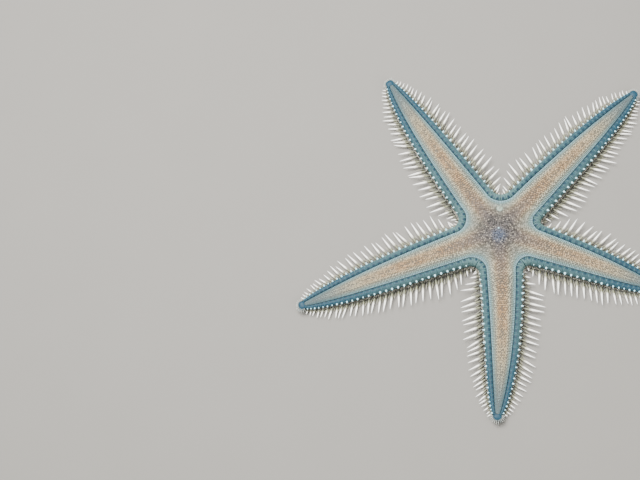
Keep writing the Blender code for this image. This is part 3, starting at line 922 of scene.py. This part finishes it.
def makePaxillae():
    draw = np.random.default_rng(paxillaSizes["seed"])
    roots = joinedRoots([paxillaRoots(path, draw) for path in paths])
    fromSieve = np.hypot(*(roots["place"] - sieveMiddle)[:, :2].T)
    roots = thinned(picked(roots, fromSieve > paxillaSizes["sieve"]), paxillaSizes["crowding"])
    roots["face"] = unit(np.cross(roots["growth"], unit(draw.normal(size=roots["growth"].shape))))
    onCone = roots["cone"] < paxillaSizes["cone"]
    for arm in range(5):
        its = picked(roots, (roots["arm"] == arm) & ~onCone)
        growRoots(f"paxillae_{arm + 1}", its, "paxilla", "paxilla", 0.16, arm, "sand_skin")
    growRoots("apicalCone", picked(roots, onCone), "paxilla", "paxilla", 0.16, 5, "slate_skin", "apical_cone")
    print("paxillae:", len(roots["girth"]))


makePaxillae()


# The edge plates: rings across each plate, shrunk at its ends so that grooves part the plates

plateShape = {
    "rings": ((0.02, 0.88), (0.06, 0.94), (0.18, 0.985), (0.4, 1.0), (0.6, 1.0), (0.82, 0.985), (0.94, 0.94),
              (0.98, 0.88)),
    "crown": 0.45 * mm,
    "foot": 0.38 * mm,  # the lower plates' own height over the floor, which their scales reach
    "split": 0.08 * mm,  # half of the groove between the two rows
    "cornerGap": 0.1 * mm,
    "girth": 5 * mm,  # of a row on the unwrap
}


def upperSection(share, width):
    # The upper plate across the edge: (outward, height, crown) from its inner foot to its outer foot
    edge = edgeHeight(share)
    low = edge * bodyPlan["marginSplit"] + plateShape["split"]
    crown = plateShape["crown"] * sized(0.4, share, edgeHeight)
    points = ((0.04, low, 0), (0.03, edge * 0.9, 0), (0.08, edge, 0), (0.24, edge, 0.75), (0.45, edge, 1.0),
              (0.66, edge, 0.7), (0.84, edge * 0.95, 0.2), (0.97, edge * 0.84, 0), (1.02, edge * 0.70, 0),
              (0.98, low, 0))
    x = np.stack([width * a for a, _, _ in points], -1)
    z = np.stack([b + crown * c + 0 * width for _, b, c in points], -1)
    return x, z


def lowerSection(share, width):
    high = edgeHeight(share) * bodyPlan["marginSplit"] - plateShape["split"]
    points = ((0.03, 0.14), (0.03, 1.0), (0.5, 1.0), (0.92, 0.98), (1.04, 0.82), (1.06, 0.55), (1.0, 0.28),
              (0.84, 0.09), (0.55, 0.03), (0.2, 0.03))
    x = np.stack([width * a for a, _ in points], -1)
    z = np.stack([np.maximum(high * b, plateShape["foot"]) + 0 * width for _, b in points], -1)
    return x, z


def pointValues(values, shape):
    # Each value spread over a part's rings and laid out as one row a point
    flat = {}
    for key, each in values.items():
        size = (3,) if key in ("lean", "rootPlace") else ()
        flat[key] = np.broadcast_to(each, shape + size).reshape(-1, *size)
    return flat


def plateRow(path, section, girthFrom, cover, lean):
    ends = plateEnds(path)
    places, shrink = (np.array(column) for column in zip(*plateShape["rings"]))
    distance = ends[:-1, None] + np.diff(ends)[:, None] * places
    point, outward, share, width = onEdge(path, distance)
    x, z = section(share, width)
    for values in (x, z):
        middle = values.mean(-1, keepdims=True)
        values += (middle - values) * (1 - shrink)[None, :, None]
    verts = point[..., None, :] + outward[..., None, :] * x[..., None]
    verts[..., 2] += z + tipLift(share)[..., None]
    gap = np.maximum(0, plateShape["cornerGap"] - clearance(path, verts))
    verts += path["ownSide"] * gap[..., None]
    plates, rings, count = x.shape
    inward = np.linspace(0, 1, count)
    values = {
        "inward": inward, "lengthwise": places[:, None], "along": share[..., None],
        "size": sized(0.55, share, edgeHeight)[..., None],
        "cover": np.array(cover, float) * (np.abs(places - 0.5) < 0.45)[:, None],
        "rootPlace": unwrapped(path, distance[..., None], girthFrom + inward * plateShape["girth"]),
        "lean": ((outward + path["forward"] * 0.4) * lean)[..., None, :],
    }
    faces = [face for plate in range(plates) for face in ringFaces(rings, count, plate * rings * count)]
    return verts.reshape(-1, 3), faces, pointValues(values, x.shape)


def plateObject(name, parts, material):
    verts = np.vstack([part[0] for part in parts])
    starts = np.cumsum([0] + [len(part[0]) for part in parts])
    faces = [tuple(i + start for i in face) for part, start in zip(parts, starts) for face in part[1]]
    values = joinedRoots([part[2] for part in parts])
    return outwardFaces(meshObject(name, verts, faces, material, values, 40))


def coated(name, parts, slot, seed, coat):
    # Granules or scales over the same surface as the parts, as a piece of their own
    finished(grown(plateObject(name, parts, None), growOnSurface, seed=seed, **coat), slot)


def dressedPlates(kind, section, girthFrom, cover, lean, material, slot, coatName, coat):
    # One row object for the whole star, and its coat of granules or scales arm by arm
    rows = [plateRow(path, section, girthFrom, cover, lean) for path in paths]
    nodes = [f"arm_{i}_{word}_{kind}_margin" for i in armNumbers for word in ("left", "right")]
    plates = finished(plateObject(f"{kind}Plates", rows, materials[material]), slot, *nodes)
    for arm in range(5):
        coated(f"{coatName}_{arm + 1}", rows[2 * arm:2 * arm + 2], slot, 20 + arm, coat)
    print(f"{kind} plates:", len(plates.data.polygons), "faces")


granuleCoat = {"piece": unitPieces["granule"], "spacing": 0.3 * mm, "girth": 0.145 * mm, "reach": 0.1 * mm,
               "variation": 0.2, "material": materials["granule"]}

dressedPlates("upper", upperSection, girths["upperPlates"], (0, 0, 1, 1, 1, 1, 1, 1, 1, 0.6), 0.0, "plate",
              "blue_plate", "plateGranules", granuleCoat)


# The long spines of the lower plates, as in the solids, and the thin ones among them

spineSizes = {
    "length": 10.0 * mm,
    "halfWidth": 0.49 * mm,
    "lean": 39.0,
    "leanDraw": 4.0,
    "rise": 3.0,
    "riseDraw": 3.0,
    "lengthDraw": (0.9, 1.05),
    "looseTurn": 2.5,  # how far each strays from the solids' own, in degrees and as a share
    "looseLength": (0.86, 1.0),
    "thinTurn": (-7, 7),
    "thinLength": (0.75, 1.15),
    "thinRise": (-6, 3),
    "bend": 0.02,
    "cornerLength": 2.0 * mm,
    "cornerGap": 0.15 * mm,
    "shortest": 1.1 * mm,
    "clear": 0.4 * mm,  # the thin ones' middles keep this far over the floor
    "seed": 7,
    "looseSeed": 31,
}

thinSpines = (  # beside each long spine: shift along the plate, drop, extra lean, length and thickness
    (0.34, 0.6 * mm, 12, 0.46, 0.5),
    (-0.30, 0.9 * mm, 7, 0.34, 0.42),
    (0.10, 1.2 * mm, 16, 0.40, 0.42),
)


def fringeRoots(path, draw, loose, main, thin):
    # One long spine a plate, and thinner, shorter ones beside and below it
    sizes = spineSizes
    for start, plate, point, outward, share, width in eachPlate(path):
        lean = math.radians(sizes["lean"] * share**0.85 + draw.uniform(-sizes["leanDraw"], sizes["leanDraw"]))
        rise = math.radians(sizes["rise"] + draw.uniform(-sizes["riseDraw"], sizes["riseDraw"]))
        root = point + outward * width + up * (tipLift(share) + edgeHeight(share) * (0.38 - 0.1 * share))
        full = sizes["length"] * (1 - share**4) ** 0.75
        long = min(full * draw.uniform(*sizes["lengthDraw"]), sizes["cornerLength"] + start)
        turn = lean + math.radians(loose.gauss(0, sizes["looseTurn"]))
        bundle = [(main, root, turn, rise, long * loose.uniform(*sizes["looseLength"]), 1.0)]
        for shift, drop, more, size, thick in thinSpines:
            beside = root + path["forward"] * plate * shift - up * drop * (1 - 0.5 * share)
            turn = lean + math.radians(more + loose.uniform(*sizes["thinTurn"]))
            length = long * size * loose.uniform(*sizes["thinLength"])
            room = max(0, beside[2] - sizes["clear"])  # over the floor
            steepest = math.asin(min(1, room / length))
            climb = max(math.radians(loose.uniform(*sizes["thinRise"])), -steepest)
            bundle.append((thin, beside, turn, climb, length, thick))
        for into, place, turn, climb, length, thick in bundle:
            flat = outward * math.cos(turn) + path["forward"] * math.sin(turn)
            growth = flat * math.cos(climb) + up * math.sin(climb)
            approach = -growth @ path["ownSide"]
            if approach > 0:
                room = clearance(path, place) - sizes["cornerGap"] - sizes["halfWidth"] / 2
                length = min(length, room / approach)
            if length > sizes["shortest"] * thick:
                wide = 0.32 + 0.68 * length / sizes["length"] if into is main else thick
                bend = unit(np.cross(growth, up)) * loose.uniform(-sizes["bend"], sizes["bend"])
                bend = bend + up * loose.uniform(0, sizes["bend"])
                into.append(rootRow(place, growth, length, sizes["halfWidth"] * wide,
                                    unwrapped(path, start, girths["spines"]), bend * length))


def makeFringe():
    draw, loose = random.Random(spineSizes["seed"]), random.Random(spineSizes["looseSeed"])
    main, thin = [], []
    for path in paths:
        fringeRoots(path, draw, loose, main, thin)
    growRoots("longSpines", stacked(main), "spine", "spine", 0.08, 3, "ivory_spine")
    growRoots("thinSpines", stacked(thin), "thinSpine", "thinSpine", 0.15, 4, "ivory_spine")
    print("fringe:", len(main), "long spines and", len(thin), "thin ones")


makeFringe()


# The lower plates, with scales that lean outward

scaleCoat = {"piece": unitPieces["scale"], "spacing": 0.47 * mm, "girth": 0.25 * mm, "reach": 0.52 * mm,
             "variation": 0.25, "material": materials["lowerScales"]}
dressedPlates("lower", lowerSection, girths["lowerPlates"], (0, 0, 0, 1, 1, 1, 1, 1, 1, 1), 1.6,
              "lowerPlates", "ivory_spine", "lowerScales", scaleCoat)


# The white pointed knob on each upper plate

tubercleSizes = {
    "length": 1.4 * mm,
    "radius": 0.54 * mm,
    "rise": 38.0,
    "corner": 4.0 * mm,  # none this near to a corner's middle
    "full": 9.0 * mm,  # from here on they have their full size
    "sizeDraw": (0.85, 1.12),
    "riseDraw": (-8, 8),
    "turnDraw": (-0.1, 0.1),
    "granule": (0.1 * mm, 0.9 * mm),  # the place of the single white granule on the disc, from the mouth
    "granuleRadius": 0.36 * mm,
    "seed": 41,
}


def makeTubercles():
    sizes, rows = tubercleSizes, []
    loose = random.Random(sizes["seed"])
    for path in paths:
        for start, _, point, outward, share, width in eachPlate(path):
            edge = edgeHeight(share)
            size = sized(0.35, share, edgeHeight) * min(1, start / sizes["full"])
            size *= loose.uniform(*sizes["sizeDraw"])
            climb = math.radians(sizes["rise"] + loose.uniform(*sizes["riseDraw"]))
            flat = outward + path["forward"] * (0.25 * share + loose.uniform(*sizes["turnDraw"]))
            if start < sizes["corner"]:
                continue
            place = point + outward * width * 0.9 + up * (edge * 0.84 + tipLift(share))
            growth = flat * math.cos(climb) + up * math.sin(climb)
            rows.append(rootRow(place, growth, sizes["length"] * size, sizes["radius"] * size,
                                unwrapped(path, start, girths["tubercles"])))
    radius = sizes["granuleRadius"]
    place = np.array((*sizes["granule"], middleHeight(armTable[0], 0) - radius))
    rows.append(rootRow(place, up, 2 * radius, radius, unwrapped(paths[0], 0, 0), facing=np.array((0, 1, 0))))
    growRoots("tubercles", stacked(rows), "tubercle", "tubercle", 0.12, 5, "blue_plate")
    print("tubercles:", len(rows))


makeTubercles()


def squaredRings(path, axes, away, half, middle, rise, groove, shape, spot, girthFrom, **even):
    # A closed part of squared rings along an axis, with a groove on its upper or lower side
    forward, left = axes
    turn = np.linspace(0, 2 * math.pi, shape["sides"], endpoint=False)[None, :]
    across, high = (np.sign(f(turn)) * np.abs(f(turn)) ** shape["squareness"] for f in (np.cos, np.sin))
    x, side = half * across, shape["grooveSide"]
    z = middle + rise * high - side * groove * np.exp(-((x / shape["grooveWidth"]) ** 2)) * (high * side > 0)
    verts = forward * away[..., None] + left * x[..., None] + up * z[..., None]
    values = {"cover": high * side > -0.3, "lean": np.zeros(3),
              "rootPlace": unwrapped(path, spot, girthFrom + turn * mm), **even}
    return verts, ringFaces(shape["rings"], shape["sides"]), pointValues(values, x.shape)


# The rounded plate at each arm's very tip, with its fan of short spinelets

tipShape = {
    "behind": 1.0 * mm,  # it laps the last edge plates by this much
    "rings": 11,
    "sides": 22,
    "squareness": 0.8,
    "groove": 0.14,  # the depth of its middle cleft, as a share of its height
    "grooveWidth": 0.25 * mm,
    "grooveSide": 1,
    "spinelets": 12,  # in each tier
    "spineletRadius": 0.15 * mm,
    "tiers": ((0.25, 0.02, 1.85 * mm), (0.5, 0.3, 1.7 * mm), (0.78, 0.9, 1.2 * mm)),  # height, rise, length
    "fan": 100.0,
    "seed": 53,
}


def tipKnob(path):
    # The knob as a part, and its own middle, half length, half width and height
    arm, forward = path["arm"], path["forward"]
    start = bodyPlan["marginEnd"] + 0.3 * mm / arm["length"]
    reach = arm["length"] * (1 - start)
    half, high = halfWidth(start), edgeHeight(start)
    long = (reach + tipShape["behind"]) / 2
    base = midline(arm, start) + up * tipLift(1.0) + forward * (reach - long)
    turn = np.radians(np.linspace(-76, 86, tipShape["rings"]))[:, None]
    size = np.cos(turn) ** 0.6
    verts, faces, values = squaredRings(
        path, armAxes(arm), long * np.sin(turn), half * size, 0.52 * high, 0.46 * high * size,
        tipShape["groove"] * high * size, tipShape, path["length"], 0,
        inward=0.62, lengthwise=0.5, along=0.88, size=0.6)
    return ((verts + base).reshape(-1, 3), faces, values), (base, long, half, high)


def makeTips():
    shape, rows = tipShape, []
    knobs = [tipKnob(path) for path in paths[::2]]
    parts = [part for part, _ in knobs]
    nodes = [f"arm_{i}_terminal_plate" for i in armNumbers]
    finished(plateObject("tipPlates", parts, materials["plate"]), "blue_plate", *nodes)
    coated("tipGranules", parts, "blue_plate", 61, granuleCoat)
    loose = random.Random(shape["seed"])
    for path, (_, (base, long, half, high)) in zip(paths[::2], knobs):
        forward, left = armAxes(path["arm"])
        for share, rise, length in shape["tiers"]:
            for turn in np.radians(np.linspace(-shape["fan"], shape["fan"], shape["spinelets"])):
                flat = forward * math.cos(turn) + left * math.sin(turn + loose.uniform(-0.08, 0.08))
                place = base + 0.85 * (forward * long * math.cos(turn) + left * half * math.sin(turn))
                growth = flat + up * (rise + loose.uniform(-0.05, 0.08))
                rows.append(rootRow(place + up * high * share, growth, length * loose.uniform(0.7, 1.0),
                                    shape["spineletRadius"], unwrapped(path, path["length"], girths["tips"])))
    growRoots("tipSpinelets", stacked(rows), "spinelet", "tipSpinelets", 0.1, 6, "blue_plate")
    print("tips:", len(rows), "spinelets")


makeTips()


# The madreporite: a low button of limy ridges that wind outward, between the first arm and the last

sieveShape = {
    "radius": 1.4 * mm,
    "height": 0.45 * mm,
    "sunk": 0.5 * mm,
    "rings": 18,
    "sides": 132,
    "groove": 0.09 * mm,
    "ridges": 12,
}


def makeSieve():
    sizes = sieveShape
    across = np.hypot(*sieveMiddle[:2]) / np.hypot(*paths[0]["middle"][:2])
    near, far = fieldSurface(paths[0], np.zeros(2), np.array((across, across + 0.05)))[0]
    outward = unit(far - near)
    side = unit(np.cross(up, outward))
    share = np.concatenate([[0.96, 1.0], np.linspace(1.0, 0.03, sizes["rings"])])[:, None]
    turn = np.linspace(0, 2 * math.pi, sizes["sides"], endpoint=False)[None, :]
    wander = 1.6 * np.sin(2 * turn + 1) + 0.9 * np.sin(5 * turn + 4 * share) + 1.8 * np.sin(5 * share + turn)
    ridge = np.abs(np.sin(sizes["ridges"] * turn + wander)) ** 0.6
    rise = sizes["height"] * (1 - share**2) ** 0.6 - sizes["groove"] * (1 - ridge) * np.sqrt(1 - 0.6 * share)
    rise[0], rise[1] = -sizes["sunk"], 0
    flat = share * sizes["radius"]
    verts = near + (flat * np.cos(turn))[..., None] * outward + (flat * np.sin(turn))[..., None] * side
    verts = verts + np.cross(outward, side) * rise[..., None]
    crown = (ridge * 0.75 * (1 - 0.6 * share**3)).ravel()
    obj = meshObject("sievePlate", verts.reshape(-1, 3), ringFaces(len(share), sizes["sides"]),
                     materials["sievePlate"], {"crown": crown})
    finished(outwardFaces(obj), "pale_plate", "madreporite")
    print("sieve plate:", len(obj.data.polygons), "faces")


makeSieve()


# The underside: five jaws round the mouth, furrow spines, tube feet and rows of small scales

underSizes = {
    "bandWidth": 1.5 * mm,  # of the plates along the furrow, which carry the spines
    "narrowest": 0.8 * mm,  # where the band is narrower it has no spines
    "platePitch": 1.45 * mm,
    "furrowSpine": 1.35 * mm,
    "bandSpine": 0.85 * mm,
    "bandRows": ((0.5 * mm, 0.9), (1.05 * mm, 0.2)),  # from the furrow's edge, and the lean inward
    "spineRadius": 0.16 * mm,
    "scaleRows": (0.16, 0.39, 0.61, 0.84),  # of the scales on each plate's length
    "scalePitch": 0.52 * mm,
    "scaleLength": 0.62 * mm,
    "scaleRadius": 0.25 * mm,
    "footPitch": 0.95 * mm,
    "footLength": 2.1 * mm,
    "footRadius": 0.34 * mm,
    "firstFoot": 2.5 * mm,  # from the mouth
    "footClear": 0.12 * mm,
    "crowding": 0.7,  # scales nearer than this share of their pitch are thinned out
    "scaleInset": 0.15 * mm,  # from the edge plates
    "mouthClear": 4.0 * mm,
    "seed": 67,
}


def underSpot(path, distance, off):
    # A place on the underside, off metres outward from the furrow's edge, the way outward, and the
    # widths of the band and of the furrow
    edge, middle, edgeShare = (each[0] for each in fieldRow(path, np.array([distance]))[:3])
    span = np.linalg.norm(edge - middle)
    furrow = furrowEdge(path, edge, edgeShare)
    place = middle + (edge - middle) * (furrow + off / span)
    place = place * (1, 1, 0) + up * underHeight(path, place[None], np.array([distance]))[0]
    return place, unit(edge - middle), span * (1 - furrow), span * furrow


def furrowRows(path, loose, spines, feet):
    # The spines and the tube feet along one side of a furrow
    sizes, forward, radius = underSizes, path["forward"], underSizes["spineRadius"]
    distance = sizes["platePitch"] / 2
    while distance < path["length"] * 0.97:
        taper = sized(0.5, distance / path["length"], edgeHeight)
        for shift in (-0.3, 0, 0.3):
            spot = distance + shift * sizes["platePitch"]
            place, outward, band, _ = underSpot(path, spot, 0.05 * mm)
            if band < sizes["narrowest"]:
                continue
            patch = unwrapped(path, spot, girths["furrowSpines"])
            length = sizes["furrowSpine"] * taper * loose.uniform(0.85, 1.05)
            growth = forward * shift - outward - up * 0.16
            spines.append(rootRow(place - up * 0.05 * mm, growth, length, radius, patch))
            for off, lean in sizes["bandRows"]:
                place, outward, _, _ = underSpot(path, spot + loose.uniform(-0.1, 0.1) * mm, off * taper)
                growth = forward * shift - outward * lean - up * 0.25
                length = sizes["bandSpine"] * taper * loose.uniform(0.8, 1.05)
                spines.append(rootRow(place, growth, length, radius * 0.95, patch))
        distance += sizes["platePitch"] * (0.6 + 0.4 * taper)
    distance = sizes["firstFoot"]
    while distance < path["length"] * 0.95:
        furrow = underSpot(path, distance, 0)[3]
        place, outward, _, _ = underSpot(path, distance, -0.5 * furrow)
        length = min(sizes["footLength"], place[2] - sizes["footClear"])
        size = length / sizes["footLength"]
        growth = outward * loose.uniform(-0.05, 0.3) + forward * loose.uniform(-0.3, 0.3) - up
        feet.append(rootRow(place + up * 0.1 * mm, growth, length, sizes["footRadius"] * size + 0.08 * mm,
                            unwrapped(path, distance, girths["tubeFeet"]), facing=forward))
        distance += sizes["footPitch"] * (0.5 + 0.5 * size)


def scaleRoots(path, loose, rows):
    sizes = underSizes
    for start, plate, *_ in eachPlate(path):
        for share in sizes["scaleRows"]:
            spot = start + plate * share
            band = underSpot(path, spot, 0)[2]
            off = sizes["bandWidth"] * min(1, band / (3 * mm)) + loose.uniform(0, 0.3) * sizes["scalePitch"]
            while off < band - sizes["scaleInset"]:
                place, outward, _, _ = underSpot(path, spot + loose.uniform(-0.06, 0.06) * mm, off)
                if np.hypot(*place[:2]) > sizes["mouthClear"]:
                    size = loose.uniform(0.85, 1.1) * min(1, 0.5 + band / (6 * mm))
                    growth = outward + path["forward"] * loose.uniform(-0.15, 0.25) - up * 0.42
                    rows.append(rootRow(place, growth, sizes["scaleLength"] * size,
                                        sizes["scaleRadius"] * size, unwrapped(path, spot, girths["scales"]),
                                        local=sizes["scalePitch"]))
                off += sizes["scalePitch"]


def makeUnderside():
    loose = random.Random(underSizes["seed"])
    feet, count = [], 0
    for arm in range(5):
        spines, scales = [], []
        for path in paths[2 * arm:2 * arm + 2]:
            furrowRows(path, loose, spines, feet)
            scaleRoots(path, loose, scales)
        kept = thinned(stacked(scales), underSizes["crowding"])
        growRoots(f"furrowSpines_{arm + 1}", stacked(spines), "spinelet", "furrowSpinelets", 0.12, 70 + arm,
                  "ivory_spine")
        growRoots(f"underScales_{arm + 1}", kept, "scale", "lowerScales", 0.15, 80 + arm, "ivory_spine")
        count += len(spines) + len(kept["girth"])
    growRoots("tubeFeet", stacked(feet), "tubeFoot", "tubeFootSkin", 0.1, 90, "sand_skin")
    print("underside:", count, "spines and scales,", len(feet), "tube feet")


makeUnderside()

jawShape = {
    "inner": 0.55 * mm,
    "outer": 3.9 * mm,
    "halfWidth": 1.35 * mm,
    "pointHalfWidth": 0.42 * mm,
    "low": 0.55 * mm,
    "high": 2.7 * mm,
    "rings": 12,
    "sides": 20,
    "squareness": 0.75,
    "groove": 0.3 * mm,
    "grooveWidth": 0.2 * mm,
    "grooveSide": -1,
    "spineletRadius": 0.17 * mm,
    "seed": 71,
}


def jawSpot(share):
    # Distance from the mouth and half width of a jaw, from its base to its point
    away = jawShape["outer"] + (jawShape["inner"] - jawShape["outer"]) * share
    return away, jawShape["halfWidth"] * (1 - share) + jawShape["pointHalfWidth"] * share


def jawAxes(path):
    forward = unit(path["middle"] * (1, 1, 0))
    return forward, np.cross(up, forward)


def jaw(path):
    # A wedge that points to the mouth, with a groove along the middle of its lower side
    share = np.linspace(0, 1, jawShape["rings"])[:, None]
    ends = np.sqrt(np.clip(1 - np.abs(2 * share - 1) ** 6, 0.02, 1))
    away, half = jawSpot(share)
    low = jawShape["low"] + 0.45 * mm * share**2
    high = jawShape["high"] - 0.9 * mm * share
    verts, faces, values = squaredRings(
        path, jawAxes(path), away, half * ends, (low + high) / 2, (high - low) / 2 * ends,
        jawShape["groove"] * ends, jawShape, away, girths["jaws"], crown=0.7, size=0.85)
    return verts.reshape(-1, 3), faces, values


def makeJaws():
    sizes, rows = jawShape, []
    parts = [jaw(path) for path in paths[::2]]
    finished(plateObject("jaws", parts, materials["lowerScales"]), "ivory_spine", "mouth_plates")
    coated("jawGranules", parts, "ivory_spine", 62, dict(granuleCoat, material=materials["lowerScales"]))
    loose = random.Random(sizes["seed"])
    for path in paths[::2]:
        forward, left = jawAxes(path)
        patch = unwrapped(path, 0, girths["jawSpinelets"])
        for side in (-1, 1):
            for share in np.linspace(0.25, 0.98, 6):  # along the jaw's sides
                away, half = jawSpot(share)
                place = forward * away + left * side * half * 0.8 + up * (0.95 + 0.4 * share) * mm
                growth = left * side * (1.15 - share) - forward * (0.2 + share) - up * 0.25
                length = (1.35 - 0.35 * share) * mm * loose.uniform(0.85, 1.05)
                rows.append(rootRow(place, growth, length, sizes["spineletRadius"], patch))
            for share in np.linspace(0.1, 0.85, 5):  # along its groove
                away, _ = jawSpot(share)
                place = forward * away + left * side * 0.5 * mm * (1.2 - share) + up * 0.75 * mm
                growth = left * side * 0.5 - up - forward * 0.4
                rows.append(rootRow(place, growth, 0.6 * mm, 0.18 * mm, patch, facing=forward))
    growRoots("jawSpinelets", stacked(rows), "spinelet", "furrowSpinelets", 0.1, 7, "ivory_spine")
    print("jaws:", len(rows), "spinelets")


makeJaws()

for piece in unitPieces.values():
    bpy.data.objects.remove(piece)


# Floor, light and camera

studio = {
    "key": {"place": (-0.17, 0.16, 0.60), "size": 0.4, "power": 16.5},
    "fill": {"place": (0.35, -0.30, 0.50), "size": 0.6, "power": 4.0},
    "sky": {"Color": "#EEF3F8", "Strength": 0.56},
    "floorReach": 3.0,
}


def makeStudio():
    reach = studio["floorReach"]
    corners = [(-reach, -reach, 0), (reach, -reach, 0), (reach, reach, 0), (-reach, reach, 0)]
    meshObject("floor", corners, [(0, 1, 2, 3)], materials["floor"], smooth=0)
    for name in ("key", "fill"):
        look = studio[name]
        lamp = bpy.data.lights.new(name, "AREA")
        lamp.size, lamp.energy = look["size"], look["power"]
        obj = bpy.data.objects.new(name, lamp)
        obj.location = look["place"]
        obj.rotation_euler = (-Vector(look["place"])).to_track_quat("-Z", "Y").to_euler()
        bpy.context.scene.collection.objects.link(obj)
    world = bpy.data.worlds.new("softSky")
    world.use_nodes = True
    sky = world.node_tree.nodes["Background"].inputs
    sky["Color"].default_value = linear(studio["sky"]["Color"])
    sky["Strength"].default_value = studio["sky"]["Strength"]
    bpy.context.scene.world = world


view = {
    "lens": 85.0,
    "elevation": 72.0,
    "distance": 608.37 * mm,
    "aim": 7.0 * mm,  # above the mouth
    "turn": 6.737,  # degrees, so that the disc lands right of the picture's middle as in the photo
    "tip": -0.303,
}


def makeCamera():
    lens = bpy.data.cameras.new("camera")
    lens.lens, lens.sensor_width = view["lens"], 36.0
    lens.clip_start, lens.clip_end = 0.01, 10
    camera = bpy.data.objects.new("camera", lens)
    tilt = math.radians(view["elevation"])
    away = Vector((0, -math.cos(tilt), math.sin(tilt))) * view["distance"] + Vector((0, 0, view["aim"]))
    turns = ((math.pi / 2 - tilt, "X"), (math.radians(view["turn"]), "Y"), (math.radians(view["tip"]), "X"))
    camera.matrix_world = Matrix.Translation(Vector(mouthPlace) + away)
    for angle, axis in turns:
        camera.matrix_world = camera.matrix_world @ Matrix.Rotation(angle, 4, axis)
    bpy.context.scene.collection.objects.link(camera)
    bpy.context.scene.camera = camera


makeStudio()
makeCamera()
print("studio and camera are set")
